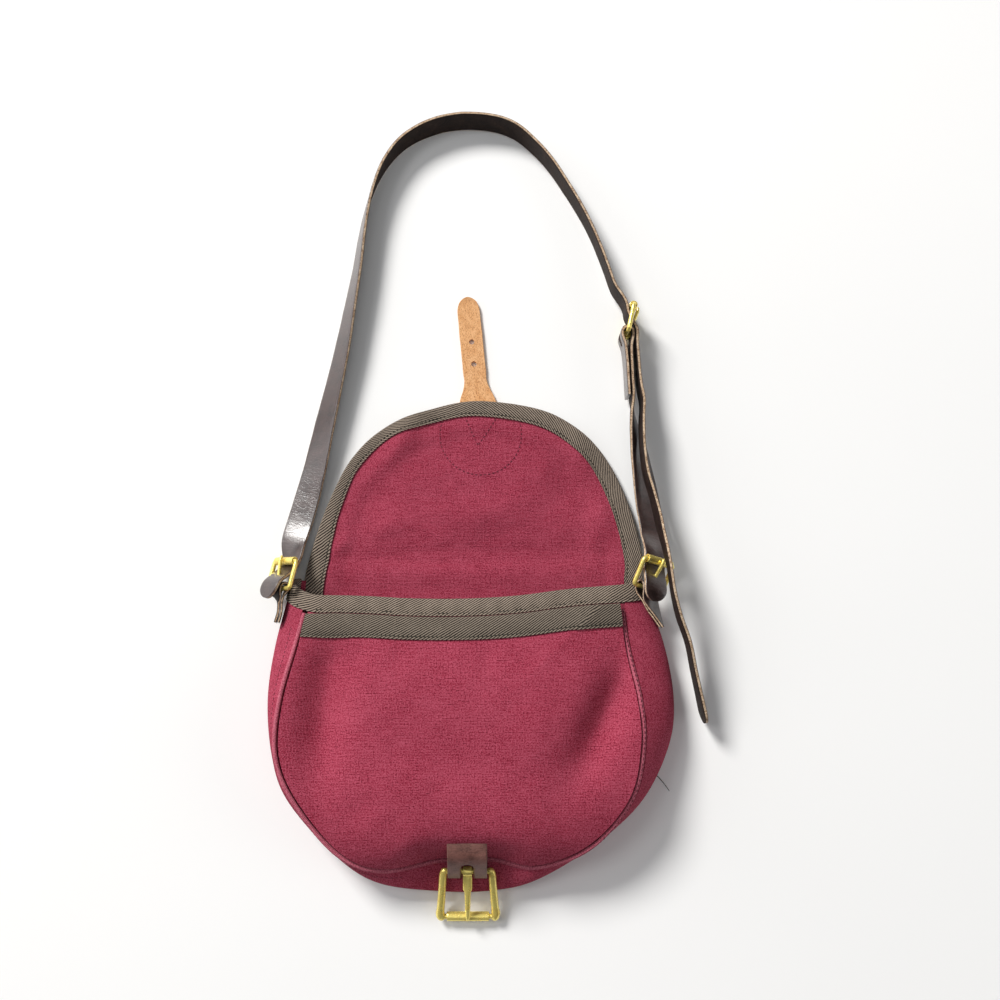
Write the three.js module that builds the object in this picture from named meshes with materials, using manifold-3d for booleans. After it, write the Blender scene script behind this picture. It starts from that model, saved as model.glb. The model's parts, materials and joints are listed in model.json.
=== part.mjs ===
import * as THREE from "three";
import { mergeVertices } from "three/addons/utils/BufferGeometryUtils.js";
import Module from "manifold-3d";

const wasm = await Module();
wasm.setup();

// ------------------------------------------------------------ sizes (mm)
const CANVAS = 1.4;              // canvas sheet
const TAPE = 1.0;                // folded binding tape
const LEATHER = 2.4;             // straps and closing tab
const SIDE_LEATHER = 1.8;        // side tabs
const GAP = 0.4;                 // clear gap between neighbouring pieces
const LAYER_GAP = 0.3;           // gap between two layers of one folded tab
const SEAM_INSET = 2.1;          // panel edge to the middle of the front seam
const WELT_RADIUS = 1.6;
const WELT_LIFT = 0.9;           // welt centre above the front surface

const MOUTH_TAPE = 11.5;         // visible width of the mouth binding
const POCKET_DROP = 12.9;        // mouth edge down to the pocket's top edge
const POCKET_TAPE = 15;          // visible width of the pocket binding
const POCKET_LIFT = 1.9;         // pocket mid surface above the front surface
const POCKET_ROOM = 4.5;         // slack between pocket and front wall at the middle
const FLAP_TAPE = 12.5;          // visible width of the flap binding
const FLAP_EDGE_LIFT = 1.65;     // bound flap edge rides on its tape
const PATCH_LIFT = 3.05;         // flap rides on the closing strap's base

const STRAP_WIDTH = 19;          // shoulder strap and side tabs
const SIDE_TAB_WIDTH = 16.4;
const TAB_WIDTH = 25.4;          // closing tab
const TAB_RIDE = 1.2;            // closing tab above the hollow it bridges
const TAPE_GAP = 0.55;           // sheet to the inside of its folded tape
const POCKET_GAPE = 1.9;         // pocket mouth standing off the front wall

const CROWN = 42;                // highest line of the stuffed front
const CROWN_CENTRE = { x: -25, y: -165 };
const CROWN_POWER = 2.2;
const BACK_CENTRE = { x: -17, y: -95 };

const BAR = 1.6, ROLLER_IN = 1.95, ROLLER_OUT = 2.8, PRONG = 1.2;   // side buckles
const BUCKLE_INNER = 23, BUCKLE_REACH = 19.5;
const C_BAR = 1.6, C_ROLLER_IN = 1.95, C_ROLLER_OUT = 3.0, C_PRONG = 1.4;   // closing buckle
const C_REACH = 34.6, C_ROLLER_Z = 5.0, C_X = -21, C_STATION = 7.5, C_FOOT = 0.92;

const PATCH = { x: -13.6, y: 46, radius: 32.5, tilt: 5.7 };   // closing strap's base
const HOLES = [54, 70.7], HOLE_RADIUS = 2;

const ORIGIN = { x: -12.3443, y: 4.0094 };   // middle of the object's box

// ------------------------------------------------------------ tables
const table = (columns, ...rows) => rows.map((r) => Object.fromEntries(columns.map((c, i) => [c, r[i]])));

// Stations round the body from the left end of the mouth, along the bottom, to the right end.
// front: seam of gusset and front, bulge: gusset's widest line, back: seam of gusset and back.
const PERIMETER = table(
  ["frontX", "frontY", "frontZ", "bulgeX", "bulgeY", "bulgeZ", "backX", "backY", "backZ"],
  [-129.5, -70.5, 19, -142, -60.5, 13, -135, -58, 4.6],
  [-135, -100, 27, -151.5, -103, 15, -138.5, -100, 2.9],
  [-143, -138, 35, -154, -139, 18, -140, -138, 2.9],
  [-144, -172, 38, -148.5, -174, 18.5, -136, -172, 2.9],
  [-132, -201, 37.5, -137, -203, 18.5, -124, -199, 2.9],
  [-103.5, -234.5, 32, -104, -238, 16.5, -98, -229, 2.9],
  [-76, -246, 24, -77, -255.5, 12.5, -66, -241.5, 2.9],
  [-38, -240.8, 16, -40, -261.3, 8.8, -34, -245.5, 2.9],
  [-5, -240.3, 15.8, -6, -261, 8.6, 2, -245.5, 2.9],
  [24, -244, 22.5, 22.5, -254, 12.5, 28, -241.5, 2.9],
  [58, -230, 32, 57.5, -233, 16, 59, -226.5, 2.9],
  [84, -201, 38, 92, -204, 18, 88, -199, 2.9],
  [92.5, -168, 38, 110.5, -170, 18, 103, -172, 2.9],
  [91.5, -138, 36, 115, -139, 18, 107.5, -138, 2.9],
  [84.5, -101, 27.5, 108.5, -100, 16, 105, -100, 2.9],
  [81.5, -63.5, 19, 93.5, -61, 13.5, 98.5, -58, 4.6],
);
const LAST = PERIMETER.length - 1;

// Front edge of the mouth, left to right at even steps.
const MOUTH = table(["y", "z"], [-70.5, 19], [-71, 18], [-72.8, 19], [-73, 20], [-71, 20], [-66.5, 19], [-63.5, 19]);

// Flap outline from the right root over the top to the left root.
const FLAP = table(
  ["x", "y"],
  [98, -38], [90.5, -7.5], [76.2, 25], [57.3, 46.9], [28.8, 62.8], [-15.8, 69.2],
  [-50.3, 62.6], [-83.5, 48.8], [-103.5, 29.5], [-116, 6], [-126.5, -23],
);

// Soft dents (negative) and swells of the front: middle, direction, half length, half width, height.
const FRONT_FOLDS = table(
  ["x", "y", "turn", "length", "width", "height"],
  [-111, -138, 90, 56, 19, -17],
  [63, -142, 54, 44, 15, -18],
  [-25, -205, 0, 75, 26, 3],
  [26, -150, 56, 40, 16, 1.6],
);

// Waves of the flap lying open.
const FLAP_WAVES = table(
  ["x", "y", "turn", "length", "width", "height"],
  [-25, -41, 1, 84, 7.5, -2.2],
  [-28, -63, 0, 95, 13, 4.2],
  [-14, -13, 2, 62, 13, 2],
  [-72, 40, 60, 27, 9.5, 3],
  [56, 34, 100, 22, 10, 2.6],
  [69, -18, 84, 20, 8.5, 2.2],
);

// Shoulder strap between the buckles: path on the floor, lift off the floor, lean of its upper edge to the loop's inside.
const LONG_ROWS = table(
  ["x", "y", "lift", "lean"],
  [-143.6, -30, 2.2, 70], [-140.6, -17, 0.6, 75], [-137.2, -4, 0.4, 74], [-131.2, 20.4, 0.3, 64], [-125.5, 49.2, 0.2, 55], [-119.5, 78.5, 0.2, 47],
  [-113.8, 108.2, 0.2, 40], [-109.1, 138.3, 0.2, 32], [-104.4, 168.9, 0.2, 25], [-100.7, 199.9, 0.2, 19], [-98.2, 216, 0.2, 16],
  [-94.2, 232, 0.2, 12], [-86.5, 251, 0.2, 6], [-72.5, 269.5, 0.2, 0], [-52.5, 281.5, 0.2, -4], [-22.5, 287.2, 0.2, -6],
  [9, 280.3, 0.2, -6], [28, 263.6, 0.5, -4], [50.3, 231, 1.2, -2], [66.4, 199, 2.4, 0], [77.4, 167.5, 4.2, 0], [82, 153, 5, 0],
);
const TAIL_ROWS = table(
  ["x", "y", "lift", "lean"],
  [97.5, 99, 5.2, 0], [98.7, 79.7, 5.8, 0], [100.3, 67, 7.5, 0], [99.2, 52, 10.6, 0], [99, 34, 13, 0], [101, 15.4, 12.4, 0],
  [105, -1, 13.6, 0], [108.4, -18.5, 15.6, -2], [110.8, -33, 20, 2], [112.8, -50.4, 26.6, 4], [115, -66, 25, 4],
  [119.4, -83.4, 20.4, 2], [125.4, -100.3, 16, 2], [129.8, -119.2, 10.4, 2], [133.7, -135.5, 6, 1], [136.7, -147.9, 2.4, 0], [138.2, -154, 1, 0],
);
// Short strap: its end folded back from the adjusting buckle, and the run down to the right side buckle.
const FOLD_BACK = table(
  ["y", "inner", "outer", "lift"],
  [72, 90.8, 93.7, 3.3], [84, 90.3, 93.2, 4], [96, 89.8, 92.9, 4.8], [107, 88.8, 92.8, 5.4],
);
const SHORT_ROWS = table(
  ["x", "y", "lift", "lean"],
  [94, 60, 2.6, 12], [97.2, 40, 1.4, 36], [101, 16.4, 1, 54], [104.1, -5, 1.6, 66], [106.3, -23, 3.4, 67],
);

// Strap in a fastened buckle, from its tip over the bar, through the frame and under the roller: along from bar to roller, and off the buckle's plane.
const FASTENED = table(["along", "off"], [-9, 6.9], [-3, 7.2], [2.5, 6.1], [9, 1.4], [15, -2.9], [BUCKLE_REACH, -4.5]);
// The same where the tip rides over the tab.
const RIDING = table(["along", "off"], [-6, 10], [-2.4, 9], [1.6, 7.6], [5.6, 5], [9.6, 1.4], [15, -2.9], [BUCKLE_REACH, -4.5]);

// ------------------------------------------------------------ helpers
const V = (x, y, z) => new THREE.Vector3(x, y, z);
const along = (p, d, k) => p.clone().addScaledVector(d, k);
const step01 = (q) => { const t = Math.min(Math.max(q, 0), 1); return t * t * (3 - 2 * t); };
const rad = THREE.MathUtils.degToRad;
const range = (a, b, n) => Array.from({ length: n + 1 }, (_, i) => a + ((b - a) * i) / n);

// Smooth curve through one column of a table; the parameter counts rows.
function smooth(rows, name) {
  const y = rows.map((r) => r[name]), n = y.length - 1;
  return (s) => {
    const i = Math.min(Math.max(Math.floor(s), 0), n - 1), t = s - i, b = y[i], c = y[i + 1];
    const a = i > 0 ? y[i - 1] : 2 * b - c, d = i < n - 1 ? y[i + 2] : 2 * c - b;
    return b + 0.5 * t * (c - a + t * (2 * a - 5 * b + 4 * c - d + t * (3 * (b - c) + d - a)));
  };
}
// Smooth curve through points; the parameter is the way along their chords.
function chords(points) {
  const knots = [0];
  for (let i = 1; i < points.length; i++) knots.push(knots[i - 1] + points[i].distanceTo(points[i - 1]));
  return knots;
}
function smoothAlong(knots, points) {
  const n = knots.length - 1, slope = (i) => points[i + 1].clone().sub(points[i]).divideScalar(knots[i + 1] - knots[i]);
  const tangents = points.map((_, i) => {
    if (i === 0) return slope(0);
    if (i === n) return slope(n - 1);
    const a = knots[i] - knots[i - 1], b = knots[i + 1] - knots[i];
    return slope(i - 1).multiplyScalar(b / (a + b)).addScaledVector(slope(i), a / (a + b));
  });
  return (q) => {
    let i = 0;
    while (i < n - 1 && q > knots[i + 1]) i++;
    const h = knots[i + 1] - knots[i], t = (q - knots[i]) / h, t2 = t * t, t3 = t2 * t;
    return points[i].clone().multiplyScalar(2 * t3 - 3 * t2 + 1).addScaledVector(points[i + 1], 3 * t2 - 2 * t3)
      .addScaledVector(tangents[i], (t3 - 2 * t2 + t) * h).addScaledVector(tangents[i + 1], (t3 - t2) * h);
  };
}

function solid(vertices, faces) {
  let volume = 0;
  for (const [a, b, c] of faces) volume += vertices[a].dot(vertices[b].clone().cross(vertices[c]));
  const index = faces.flatMap(([a, b, c]) => (volume < 0 ? [a, c, b] : [a, b, c]));
  const g = new THREE.BufferGeometry();
  g.setAttribute("position", new THREE.Float32BufferAttribute(vertices.flatMap((v) => [v.x, v.y, v.z]), 3));
  g.setIndex(index);
  return g;
}

// Closed sheet between two grids of points of the same size.
function thickGrid(top, bottom) {
  const n = top.length, m = top[0].length, vertices = [...top.flat(), ...bottom.flat()], faces = [];
  const T = (i, j) => i * m + j, B = (i, j) => n * m + i * m + j;
  const quad = (a, b, c, d) => faces.push([a, b, c], [a, c, d]);
  for (let i = 0; i < n - 1; i++) for (let j = 0; j < m - 1; j++) {
    quad(T(i, j), T(i + 1, j), T(i + 1, j + 1), T(i, j + 1));
    quad(B(i, j), B(i, j + 1), B(i + 1, j + 1), B(i + 1, j));
  }
  for (let i = 0; i < n - 1; i++) {
    quad(T(i, 0), B(i, 0), B(i + 1, 0), T(i + 1, 0));
    quad(T(i, m - 1), T(i + 1, m - 1), B(i + 1, m - 1), B(i, m - 1));
  }
  for (let j = 0; j < m - 1; j++) {
    quad(T(0, j), T(0, j + 1), B(0, j + 1), B(0, j));
    quad(T(n - 1, j), B(n - 1, j), B(n - 1, j + 1), T(n - 1, j + 1));
  }
  return solid(vertices, faces);
}

// Closed sheet over an outline: rings from the edge to the middle, on a surface given as point and normal.
function discSheet(outline, centre, edgeRings, fractions, surface, thickness) {
  const n = outline.length;
  const inward = (p, d) => {
    const l = Math.hypot(centre.x - p.x, centre.y - p.y);
    return { x: p.x + ((centre.x - p.x) * d) / l, y: p.y + ((centre.y - p.y) * d) / l };
  };
  const rings = edgeRings.map((d) => outline.map((p) => inward(p, d)));
  const last = rings[rings.length - 1];
  for (const f of fractions) rings.push(last.map((p) => ({ x: p.x + (centre.x - p.x) * f, y: p.y + (centre.y - p.y) * f })));
  const vertices = [], faces = [];
  for (const side of [0.5, -0.5]) {
    for (const ring of rings) for (const p of ring) { const q = surface(p.x, p.y); vertices.push(along(q.p, q.n, side * thickness)); }
    const q = surface(centre.x, centre.y);
    vertices.push(along(q.p, q.n, side * thickness));
  }
  const count = rings.length * n + 1;
  const at = (side, k, i) => side * count + k * n + (i % n), mid = (side) => side * count + rings.length * n;
  for (let i = 0; i < n; i++) {
    for (let k = 0; k < rings.length - 1; k++) {
      faces.push([at(0, k, i), at(0, k, i + 1), at(0, k + 1, i + 1)], [at(0, k, i), at(0, k + 1, i + 1), at(0, k + 1, i)]);
      faces.push([at(1, k, i), at(1, k + 1, i + 1), at(1, k, i + 1)], [at(1, k, i), at(1, k + 1, i), at(1, k + 1, i + 1)]);
    }
    const k = rings.length - 1;
    faces.push([at(0, k, i), at(0, k, i + 1), mid(0)], [at(1, k, i), mid(1), at(1, k, i + 1)]);
    faces.push([at(0, 0, i), at(1, 0, i), at(1, 0, i + 1)], [at(0, 0, i), at(1, 0, i + 1), at(0, 0, i + 1)]);
  }
  return solid(vertices, faces);
}

// Round rod through stations of point, radius and two section directions; closed ring or capped.
function rod(stations, sides, closed) {
  const vertices = stations.flatMap((s) => range(0, 2 * Math.PI, sides).slice(0, sides)
    .map((q) => along(along(s.p, s.u, Math.cos(q) * s.ru), s.v, Math.sin(q) * s.rv)));
  const n = stations.length, faces = [];
  for (let i = 0; i < (closed ? n : n - 1); i++) for (let j = 0; j < sides; j++) {
    const a = i * sides + j, b = i * sides + ((j + 1) % sides), k = ((i + 1) % n) * sides;
    faces.push([a, b, k + ((j + 1) % sides)], [a, k + ((j + 1) % sides), k + j]);
  }
  if (!closed) for (let j = 1; j < sides - 1; j++) {
    faces.push([0, j + 1, j]);
    faces.push([(n - 1) * sides, (n - 1) * sides + j, (n - 1) * sides + j + 1]);
  }
  return solid(vertices, faces);
}

const manifold = (g) => {
  const w = mergeVertices(g.clone().deleteAttribute("normal").deleteAttribute("uv"), 1e-4);
  return new wasm.Manifold(new wasm.Mesh({ numProp: 3, vertProperties: new Float32Array(w.attributes.position.array), triVerts: new Uint32Array(w.index.array) }));
};
const fromManifold = (m) => {
  const mesh = m.getMesh(), g = new THREE.BufferGeometry();
  g.setAttribute("position", new THREE.BufferAttribute(new Float32Array(mesh.vertProperties), 3));
  g.setIndex([...mesh.triVerts]);
  return g;
};
const cut = (g, ...tools) => fromManifold(tools.reduce((m, t) => m.subtract(manifold(t)), manifold(g)));
const join = (g, ...more) => fromManifold(more.reduce((m, t) => m.add(manifold(t)), manifold(g)));

// ------------------------------------------------------------ body surfaces
const per = Object.fromEntries(Object.keys(PERIMETER[0]).map((k) => [k, smooth(PERIMETER, k)]));
const frontSeam = (s) => V(per.frontX(s), per.frontY(s), per.frontZ(s));
const bulge = (s) => V(per.bulgeX(s), per.bulgeY(s), per.bulgeZ(s));
const backSeam = (s) => V(per.backX(s), per.backY(s), per.backZ(s));

function gussetPoint(s, t) {
  return backSeam(s).multiplyScalar((1 - t) * (1 - 2 * t))
    .addScaledVector(bulge(s), 4 * t * (1 - t)).addScaledVector(frontSeam(s), t * (2 * t - 1));
}
function gusset(s, t) {
  const e = 0.02, p = gussetPoint(s, t);
  const ds = gussetPoint(s + e, t).sub(gussetPoint(s - e, t)), dt = gussetPoint(s, t + e).sub(gussetPoint(s, t - e));
  return { p, n: ds.clone().cross(dt).normalize(), ds: ds.divideScalar(2 * e), dt: dt.divideScalar(2 * e) };
}

const mouthY = smooth(MOUTH, "y"), mouthZ = smooth(MOUTH, "z");
const MOUTH_LEFT = PERIMETER[0].frontX, MOUTH_RIGHT = PERIMETER[LAST].frontX;
const mouth = (u) => V(MOUTH_LEFT + (MOUTH_RIGHT - MOUTH_LEFT) * u, mouthY(u * (MOUTH.length - 1)), mouthZ(u * (MOUTH.length - 1)));

// Distance and height of an outline seen from a middle point, by direction.
function polar(points, centre) {
  const list = points.map((p) => ({ a: Math.atan2(p.y - centre.y, p.x - centre.x), r: Math.hypot(p.y - centre.y, p.x - centre.x), z: p.z })).sort((p, q) => p.a - q.a);
  const first = list[0], last = list[list.length - 1];
  list.unshift({ ...last, a: last.a - 2 * Math.PI });
  list.push({ ...first, a: first.a + 2 * Math.PI });
  return (x, y) => {
    const a = Math.atan2(y - centre.y, x - centre.x);
    let lo = 0, hi = list.length - 1;
    while (hi - lo > 1) { const m = (lo + hi) >> 1; if (list[m].a <= a) lo = m; else hi = m; }
    const k = (a - list[lo].a) / (list[hi].a - list[lo].a || 1);
    return { r: list[lo].r + k * (list[hi].r - list[lo].r), z: list[lo].z + k * (list[hi].z - list[lo].z) };
  };
}
const folds = (rows, x, y) => rows.reduce((sum, f) => {
  const c = Math.cos(rad(f.turn)), s = Math.sin(rad(f.turn)), dx = x - f.x, dy = y - f.y;
  const a = (dx * c + dy * s) / f.length, b = (dy * c - dx * s) / f.width;
  return sum + f.height * Math.exp(-a * a - b * b);
}, 0);

const frontEdge = polar([...range(0, LAST, 300).map(frontSeam), ...range(0.99, 0.01, 90).map(mouth)], CROWN_CENTRE);
const crown = (x, y) => {
  const e = frontEdge(x, y), r = Math.hypot(x - CROWN_CENTRE.x, y - CROWN_CENTRE.y) / e.r;
  return { r, z: CROWN + (e.z - CROWN) * r ** CROWN_POWER };
};
const surfaceOf = (height) => (x, y) => {
  const e = 0.5, z = height(x, y);
  const n = V((height(x - e, y) - height(x + e, y)) / (2 * e), (height(x, y - e) - height(x, y + e)) / (2 * e), 1).normalize();
  return { p: V(x, y, z), n };
};
const mouthLine = (x) => mouth(Math.min(Math.max((x - MOUTH_LEFT) / (MOUTH_RIGHT - MOUTH_LEFT), 0), 1)).y;
const bell = (q) => Math.exp(-q * q);
const below = (x, y) => step01((mouthLine(x) - 12 - y) / 36);                         // clear of the mouth
const frontWall = surfaceOf((x, y) => {
  const c = crown(x, y), sag = Math.min(folds(FRONT_FOLDS, x, y), 0) * Math.max(0, 1 - c.r ** 3) * below(x, y);
  return c.z - POCKET_ROOM * Math.max(0, 1 - c.r ** 4) + sag;
});
const pocketFace = surfaceOf((x, y) => {
  const c = crown(x, y), full = step01((-y - 172) / 40) * bell((x + 22) / 84);       // the bottom is stuffed full
  const z = c.z + (CROWN - frontEdge(x, y).z) * (c.r ** CROWN_POWER - c.r ** (CROWN_POWER + 6.6 * full));
  const drawn = 4.5 * bell((x + 20) / 17) * bell((y + 236) / 8) * Math.max(0, 1 - c.r ** 9);   // drawn in at the tab
  const lip = POCKET_GAPE * bell((mouthLine(x) - POCKET_DROP - y) / 17);
  return z - drawn + POCKET_LIFT + lip + folds(FRONT_FOLDS, x, y) * Math.max(0, 1 - c.r ** 3) * below(x, y);
});

const backPoints = [...PERIMETER.map((r) => V(r.backX, r.backY, 0)), ...FLAP.map((r) => V(r.x, r.y, 0))];
const backLoop = new THREE.CatmullRomCurve3(backPoints, true, "catmullrom", 0.5);
const backEdge = polar(backLoop.getPoints(500).slice(0, 500), BACK_CENTRE);
const backHeight = (x, y) => {
  const d = backEdge(x, y).r - Math.hypot(x - BACK_CENTRE.x, y - BACK_CENTRE.y);
  const flap = step01((y + 84) / 24);
  const rim = FLAP_EDGE_LIFT * step01((28 - d) / 13) * flap;
  const base = PATCH_LIFT * step01((76 - Math.hypot(x - PATCH.x, y - PATCH.y)) / 28);
  const loose = flap * step01((y + 66) / 30);
  return CANVAS / 2 + rim + Math.max(base + (folds(FLAP_WAVES, x, y) + 1.2) * loose, 0);
};
const backFace = surfaceOf(backHeight);

// ------------------------------------------------------------ body pieces
const meshes = [];
const piece = (name, geometry, material) => meshes.push([name, geometry, material]);

const SEAM_STEPS = 42;
const backOutline = backLoop.getPoints(64).slice(0, 64);
piece("back_panel", discSheet(backOutline, BACK_CENTRE, [0, 6.5, 13.5, 28], [0.28, 0.6], backFace, CANVAS), "canvas");

const gussetGrid = (side) => range(0, LAST, SEAM_STEPS).map((s) => {
  const end = 1 - SEAM_INSET / gusset(s, 1).dt.length();
  return range(0, end, 8).map((t) => { const q = gusset(s, t); return along(q.p, q.n, (side * CANVAS) / 2); });
});
piece("gusset", thickGrid(gussetGrid(1), gussetGrid(-1)), "canvas");

const insetPoint = (p) => {
  const l = Math.hypot(CROWN_CENTRE.x - p.x, CROWN_CENTRE.y - p.y);
  return V(p.x + ((CROWN_CENTRE.x - p.x) * SEAM_INSET) / l, p.y + ((CROWN_CENTRE.y - p.y) * SEAM_INSET) / l, 0);
};
const seamOutline = (from, to, n) => range(from, to, n).map((s) => insetPoint(frontSeam(s)));
const wallOutline = [...seamOutline(0.12, LAST - 0.12, 40), ...range(0.985, 0.015, 14).map(mouth)];
piece("front_panel", discSheet(wallOutline, CROWN_CENTRE, [0, 7, 14], [0.3, 0.65], frontWall, CANVAS), "canvas");

const POCKET_FROM = 0.47, POCKET_TO = LAST - 0.38;
const pocketTop = (u) => {
  const left = frontSeam(POCKET_FROM).x + SEAM_INSET + 0.4, right = frontSeam(POCKET_TO).x - SEAM_INSET - 0.4, x = left + (right - left) * u;
  return V(x, mouthLine(x) - POCKET_DROP, 0);
};
const pocketOutline = [...seamOutline(POCKET_FROM + 0.05, POCKET_TO - 0.05, 40), ...range(1, 0, 14).map(pocketTop)];
piece("front_pocket", discSheet(pocketOutline, CROWN_CENTRE, [0, 8.5, 17], [0.3, 0.65], pocketFace, CANVAS), "canvas");

const WELT_FROM = 0.56, WELT_TO = LAST - 0.5;
const weltAxis = (s) => {
  const f = frontSeam(s), i = insetPoint(f), n = surfaceOf((x, y) => crown(x, y).z)(i.x, i.y).n.add(gusset(s, 1).n).normalize();
  return { p: along(f, n, WELT_LIFT), n };
};
piece("front_welt", rod(range(WELT_FROM, WELT_TO, SEAM_STEPS).map((s) => {
  const { p, n } = weltAxis(s), t = weltAxis(s + 0.02).p.sub(weltAxis(s - 0.02).p).normalize();
  const u = n.clone().addScaledVector(t, -n.dot(t)).normalize();
  return { p, u, v: t.clone().cross(u), ru: WELT_RADIUS, rv: WELT_RADIUS };
}), 6, false), "canvas");

// Folded tape on a sheet's edge; each station gives the sheet at a distance from its edge.
function binding(stations, width, gap) {
  const h = CANVAS / 2 + gap + TAPE / 2, top = [], bottom = [];
  for (const at of stations) {
    const e = at(0), m = at(width / 2), w = at(width), up = e.p.clone().sub(at(1).p).normalize();
    const section = [
      [along(w.p, w.n, -h), w.n.clone().negate()],
      [along(m.p, m.n, -h), m.n.clone().negate()],
      [along(e.p, e.n, -h), e.n.clone().negate()],
      [along(along(e.p, up, GAP + TAPE / 2), e.n, -0.6 * h), up.clone().sub(e.n).normalize()],
      [along(along(e.p, up, GAP + TAPE / 2), e.n, 0.6 * h), up.clone().add(e.n).normalize()],
      [along(e.p, e.n, h), e.n],
      [along(m.p, m.n, h), m.n],
      [along(w.p, w.n, h), w.n],
    ];
    top.push(section.map(([p, n]) => along(p, n, TAPE / 2)));
    bottom.push(section.map(([p, n]) => along(p, n, -TAPE / 2)));
  }
  return thickGrid(top, bottom);
}
const onGusset = (s, sign, t) => (d) => { const q = gusset(s, t), k = d / q.ds.length(); return gusset(s + sign * k, t); };
const onFront = (face, edge) => (d) => face(edge.x, edge.y - d * Math.cos(Math.atan(0.35)));
piece("mouth_binding", binding([
  ...range(0.12, 0.9, 7).map((t) => onGusset(0, 1, t)),
  ...range(0.012, 0.988, 18).map((u) => onFront(frontWall, mouth(u))),
  ...range(0.9, 0.12, 7).map((t) => onGusset(LAST, -1, t)),
], MOUTH_TAPE, TAPE_GAP), "tape");
piece("pocket_binding", binding(range(0.012, 0.988, 20).map((u) => onFront(pocketFace, pocketTop(u))), POCKET_TAPE, TAPE_GAP + 0.25), "tape");

const FLAP_ENDS = [PERIMETER.length - 0.82, backPoints.length - 0.07];
piece("flap_binding", binding(range(FLAP_ENDS[0], FLAP_ENDS[1], 34).map((k) => {
  const p = backLoop.getPoint(k / backPoints.length), l = Math.hypot(BACK_CENTRE.x - p.x, BACK_CENTRE.y - p.y);
  return (d) => backFace(p.x + ((BACK_CENTRE.x - p.x) * d) / l, p.y + ((BACK_CENTRE.y - p.y) * d) / l);
}), FLAP_TAPE, TAPE_GAP), "tape");

// ------------------------------------------------------------ closing strap
const strapShape = new THREE.Shape();
const R = PATCH.radius;
strapShape.absarc(0, 0, R, Math.PI, 2 * Math.PI, false);
strapShape.bezierCurveTo(R, 15, 15, 14, 13.2, 25);
strapShape.bezierCurveTo(12, 32, 8.4, 34, 8.2, 44);
strapShape.lineTo(8.4, 94);
strapShape.bezierCurveTo(8.4, 101, 4, 105.4, 0, 105.4);
strapShape.bezierCurveTo(-4, 105.4, -8.4, 101, -8.4, 94);
strapShape.lineTo(-8.2, 44);
strapShape.bezierCurveTo(-8.4, 34, -12, 32, -13.2, 25);
strapShape.bezierCurveTo(-15, 14, -R, 15, -R, 0);
for (const y of HOLES) { const hole = new THREE.Path(); hole.absarc(0, y, HOLE_RADIUS, 0, 2 * Math.PI, true); strapShape.holes.push(hole); }
piece("flap_strap", new THREE.ExtrudeGeometry(strapShape, { depth: LEATHER, bevelEnabled: false, curveSegments: 10 })
  .rotateZ(rad(PATCH.tilt)).translate(PATCH.x, PATCH.y, 0), "leather");

// ------------------------------------------------------------ buckles
function frameAt(o, b, c, mirrored) {
  b.normalize(); c.addScaledVector(b, -c.dot(b)).normalize();
  const a = mirrored ? c.clone().cross(b) : b.clone().cross(c);
  return { o, a, b, c, at: (x, y, z) => along(along(along(o, a, x), b, y), c, z) };
}
const loopRadius = BAR + 2.4 * GAP + LEATHER / 2;
const LEFT = frameAt(V(-151.5, -64, 15.5), V(0.2, 0.97, -0.12), V(-0.667, 0.224, 0.699), false);
const RIGHT = frameAt(V(100.8, -64, 18.8), V(0.36, 0.9, 0.26), V(0.4662, -0.4132, 0.7848), true);
const ADJUSTER = frameAt(V(90.5, 117, 15.2), V(0.217, 0.976, 0), V(0.976, -0.217, 0), true);

function basis(f) { return new THREE.Matrix4().makeBasis(f.a, f.b, f.c).setPosition(f.o); }
// A hollow cylinder about the bar direction, at a distance from the bar.
function collar(f, inner, outer, half, y, segments) {
  const profile = [[inner, -half], [outer, -half], [outer, half], [inner, half], [inner, -half]].map(([r, z]) => new THREE.Vector2(r, z));
  const g = new THREE.LatheGeometry(profile, segments).rotateZ(Math.PI / 2).translate(0, y, 0).applyMatrix4(basis(f));
  const w = mergeVertices(g.deleteAttribute("normal").deleteAttribute("uv"), 1e-4), p = w.attributes.position, k = w.index.array;
  const vertices = range(0, p.count - 1, p.count - 1).map((i) => V(p.getX(i), p.getY(i), p.getZ(i))), faces = [];
  for (let i = 0; i < k.length; i += 3) if (k[i] !== k[i + 1] && k[i + 1] !== k[i + 2] && k[i] !== k[i + 2]) faces.push([k[i], k[i + 1], k[i + 2]]);
  return solid(vertices, faces);
}
// Flat ring of round rod, from stations of half width, distance from the bar and radius, mirrored about the middle.
function ringRod(f, half, sides) {
  const loop = [...half, ...half.slice(1, -1).reverse().map(([x, y, r]) => [-x, y, r])], n = loop.length;
  return rod(loop.map(([x, y, r], i) => {
    const [x0, y0] = loop[(i + n - 1) % n], [x1, y1] = loop[(i + 1) % n], l = Math.hypot(x1 - x0, y1 - y0);
    const side = f.a.clone().multiplyScalar((y1 - y0) / l).addScaledVector(f.b, -(x1 - x0) / l);
    return { p: f.at(x, y, 0), u: side, v: f.c, ru: r, rv: r };
  }), sides, true);
}
function prongRod(f, rows, extra, sides) {
  return rod(rows.map(([y, z, wide, thick], i) => {
    const a = rows[Math.max(i - 1, 0)], b = rows[Math.min(i + 1, rows.length - 1)], l = Math.hypot(b[0] - a[0], b[1] - a[1]);
    const v = f.c.clone().multiplyScalar((b[0] - a[0]) / l).addScaledVector(f.b, -(b[1] - a[1]) / l);
    return { p: f.at(0, y, z), u: f.a, v, ru: wide + extra, rv: thick + extra };
  }), sides, false);
}
const POST = BUCKLE_INNER / 2 + BAR, L = BUCKLE_REACH;
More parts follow.
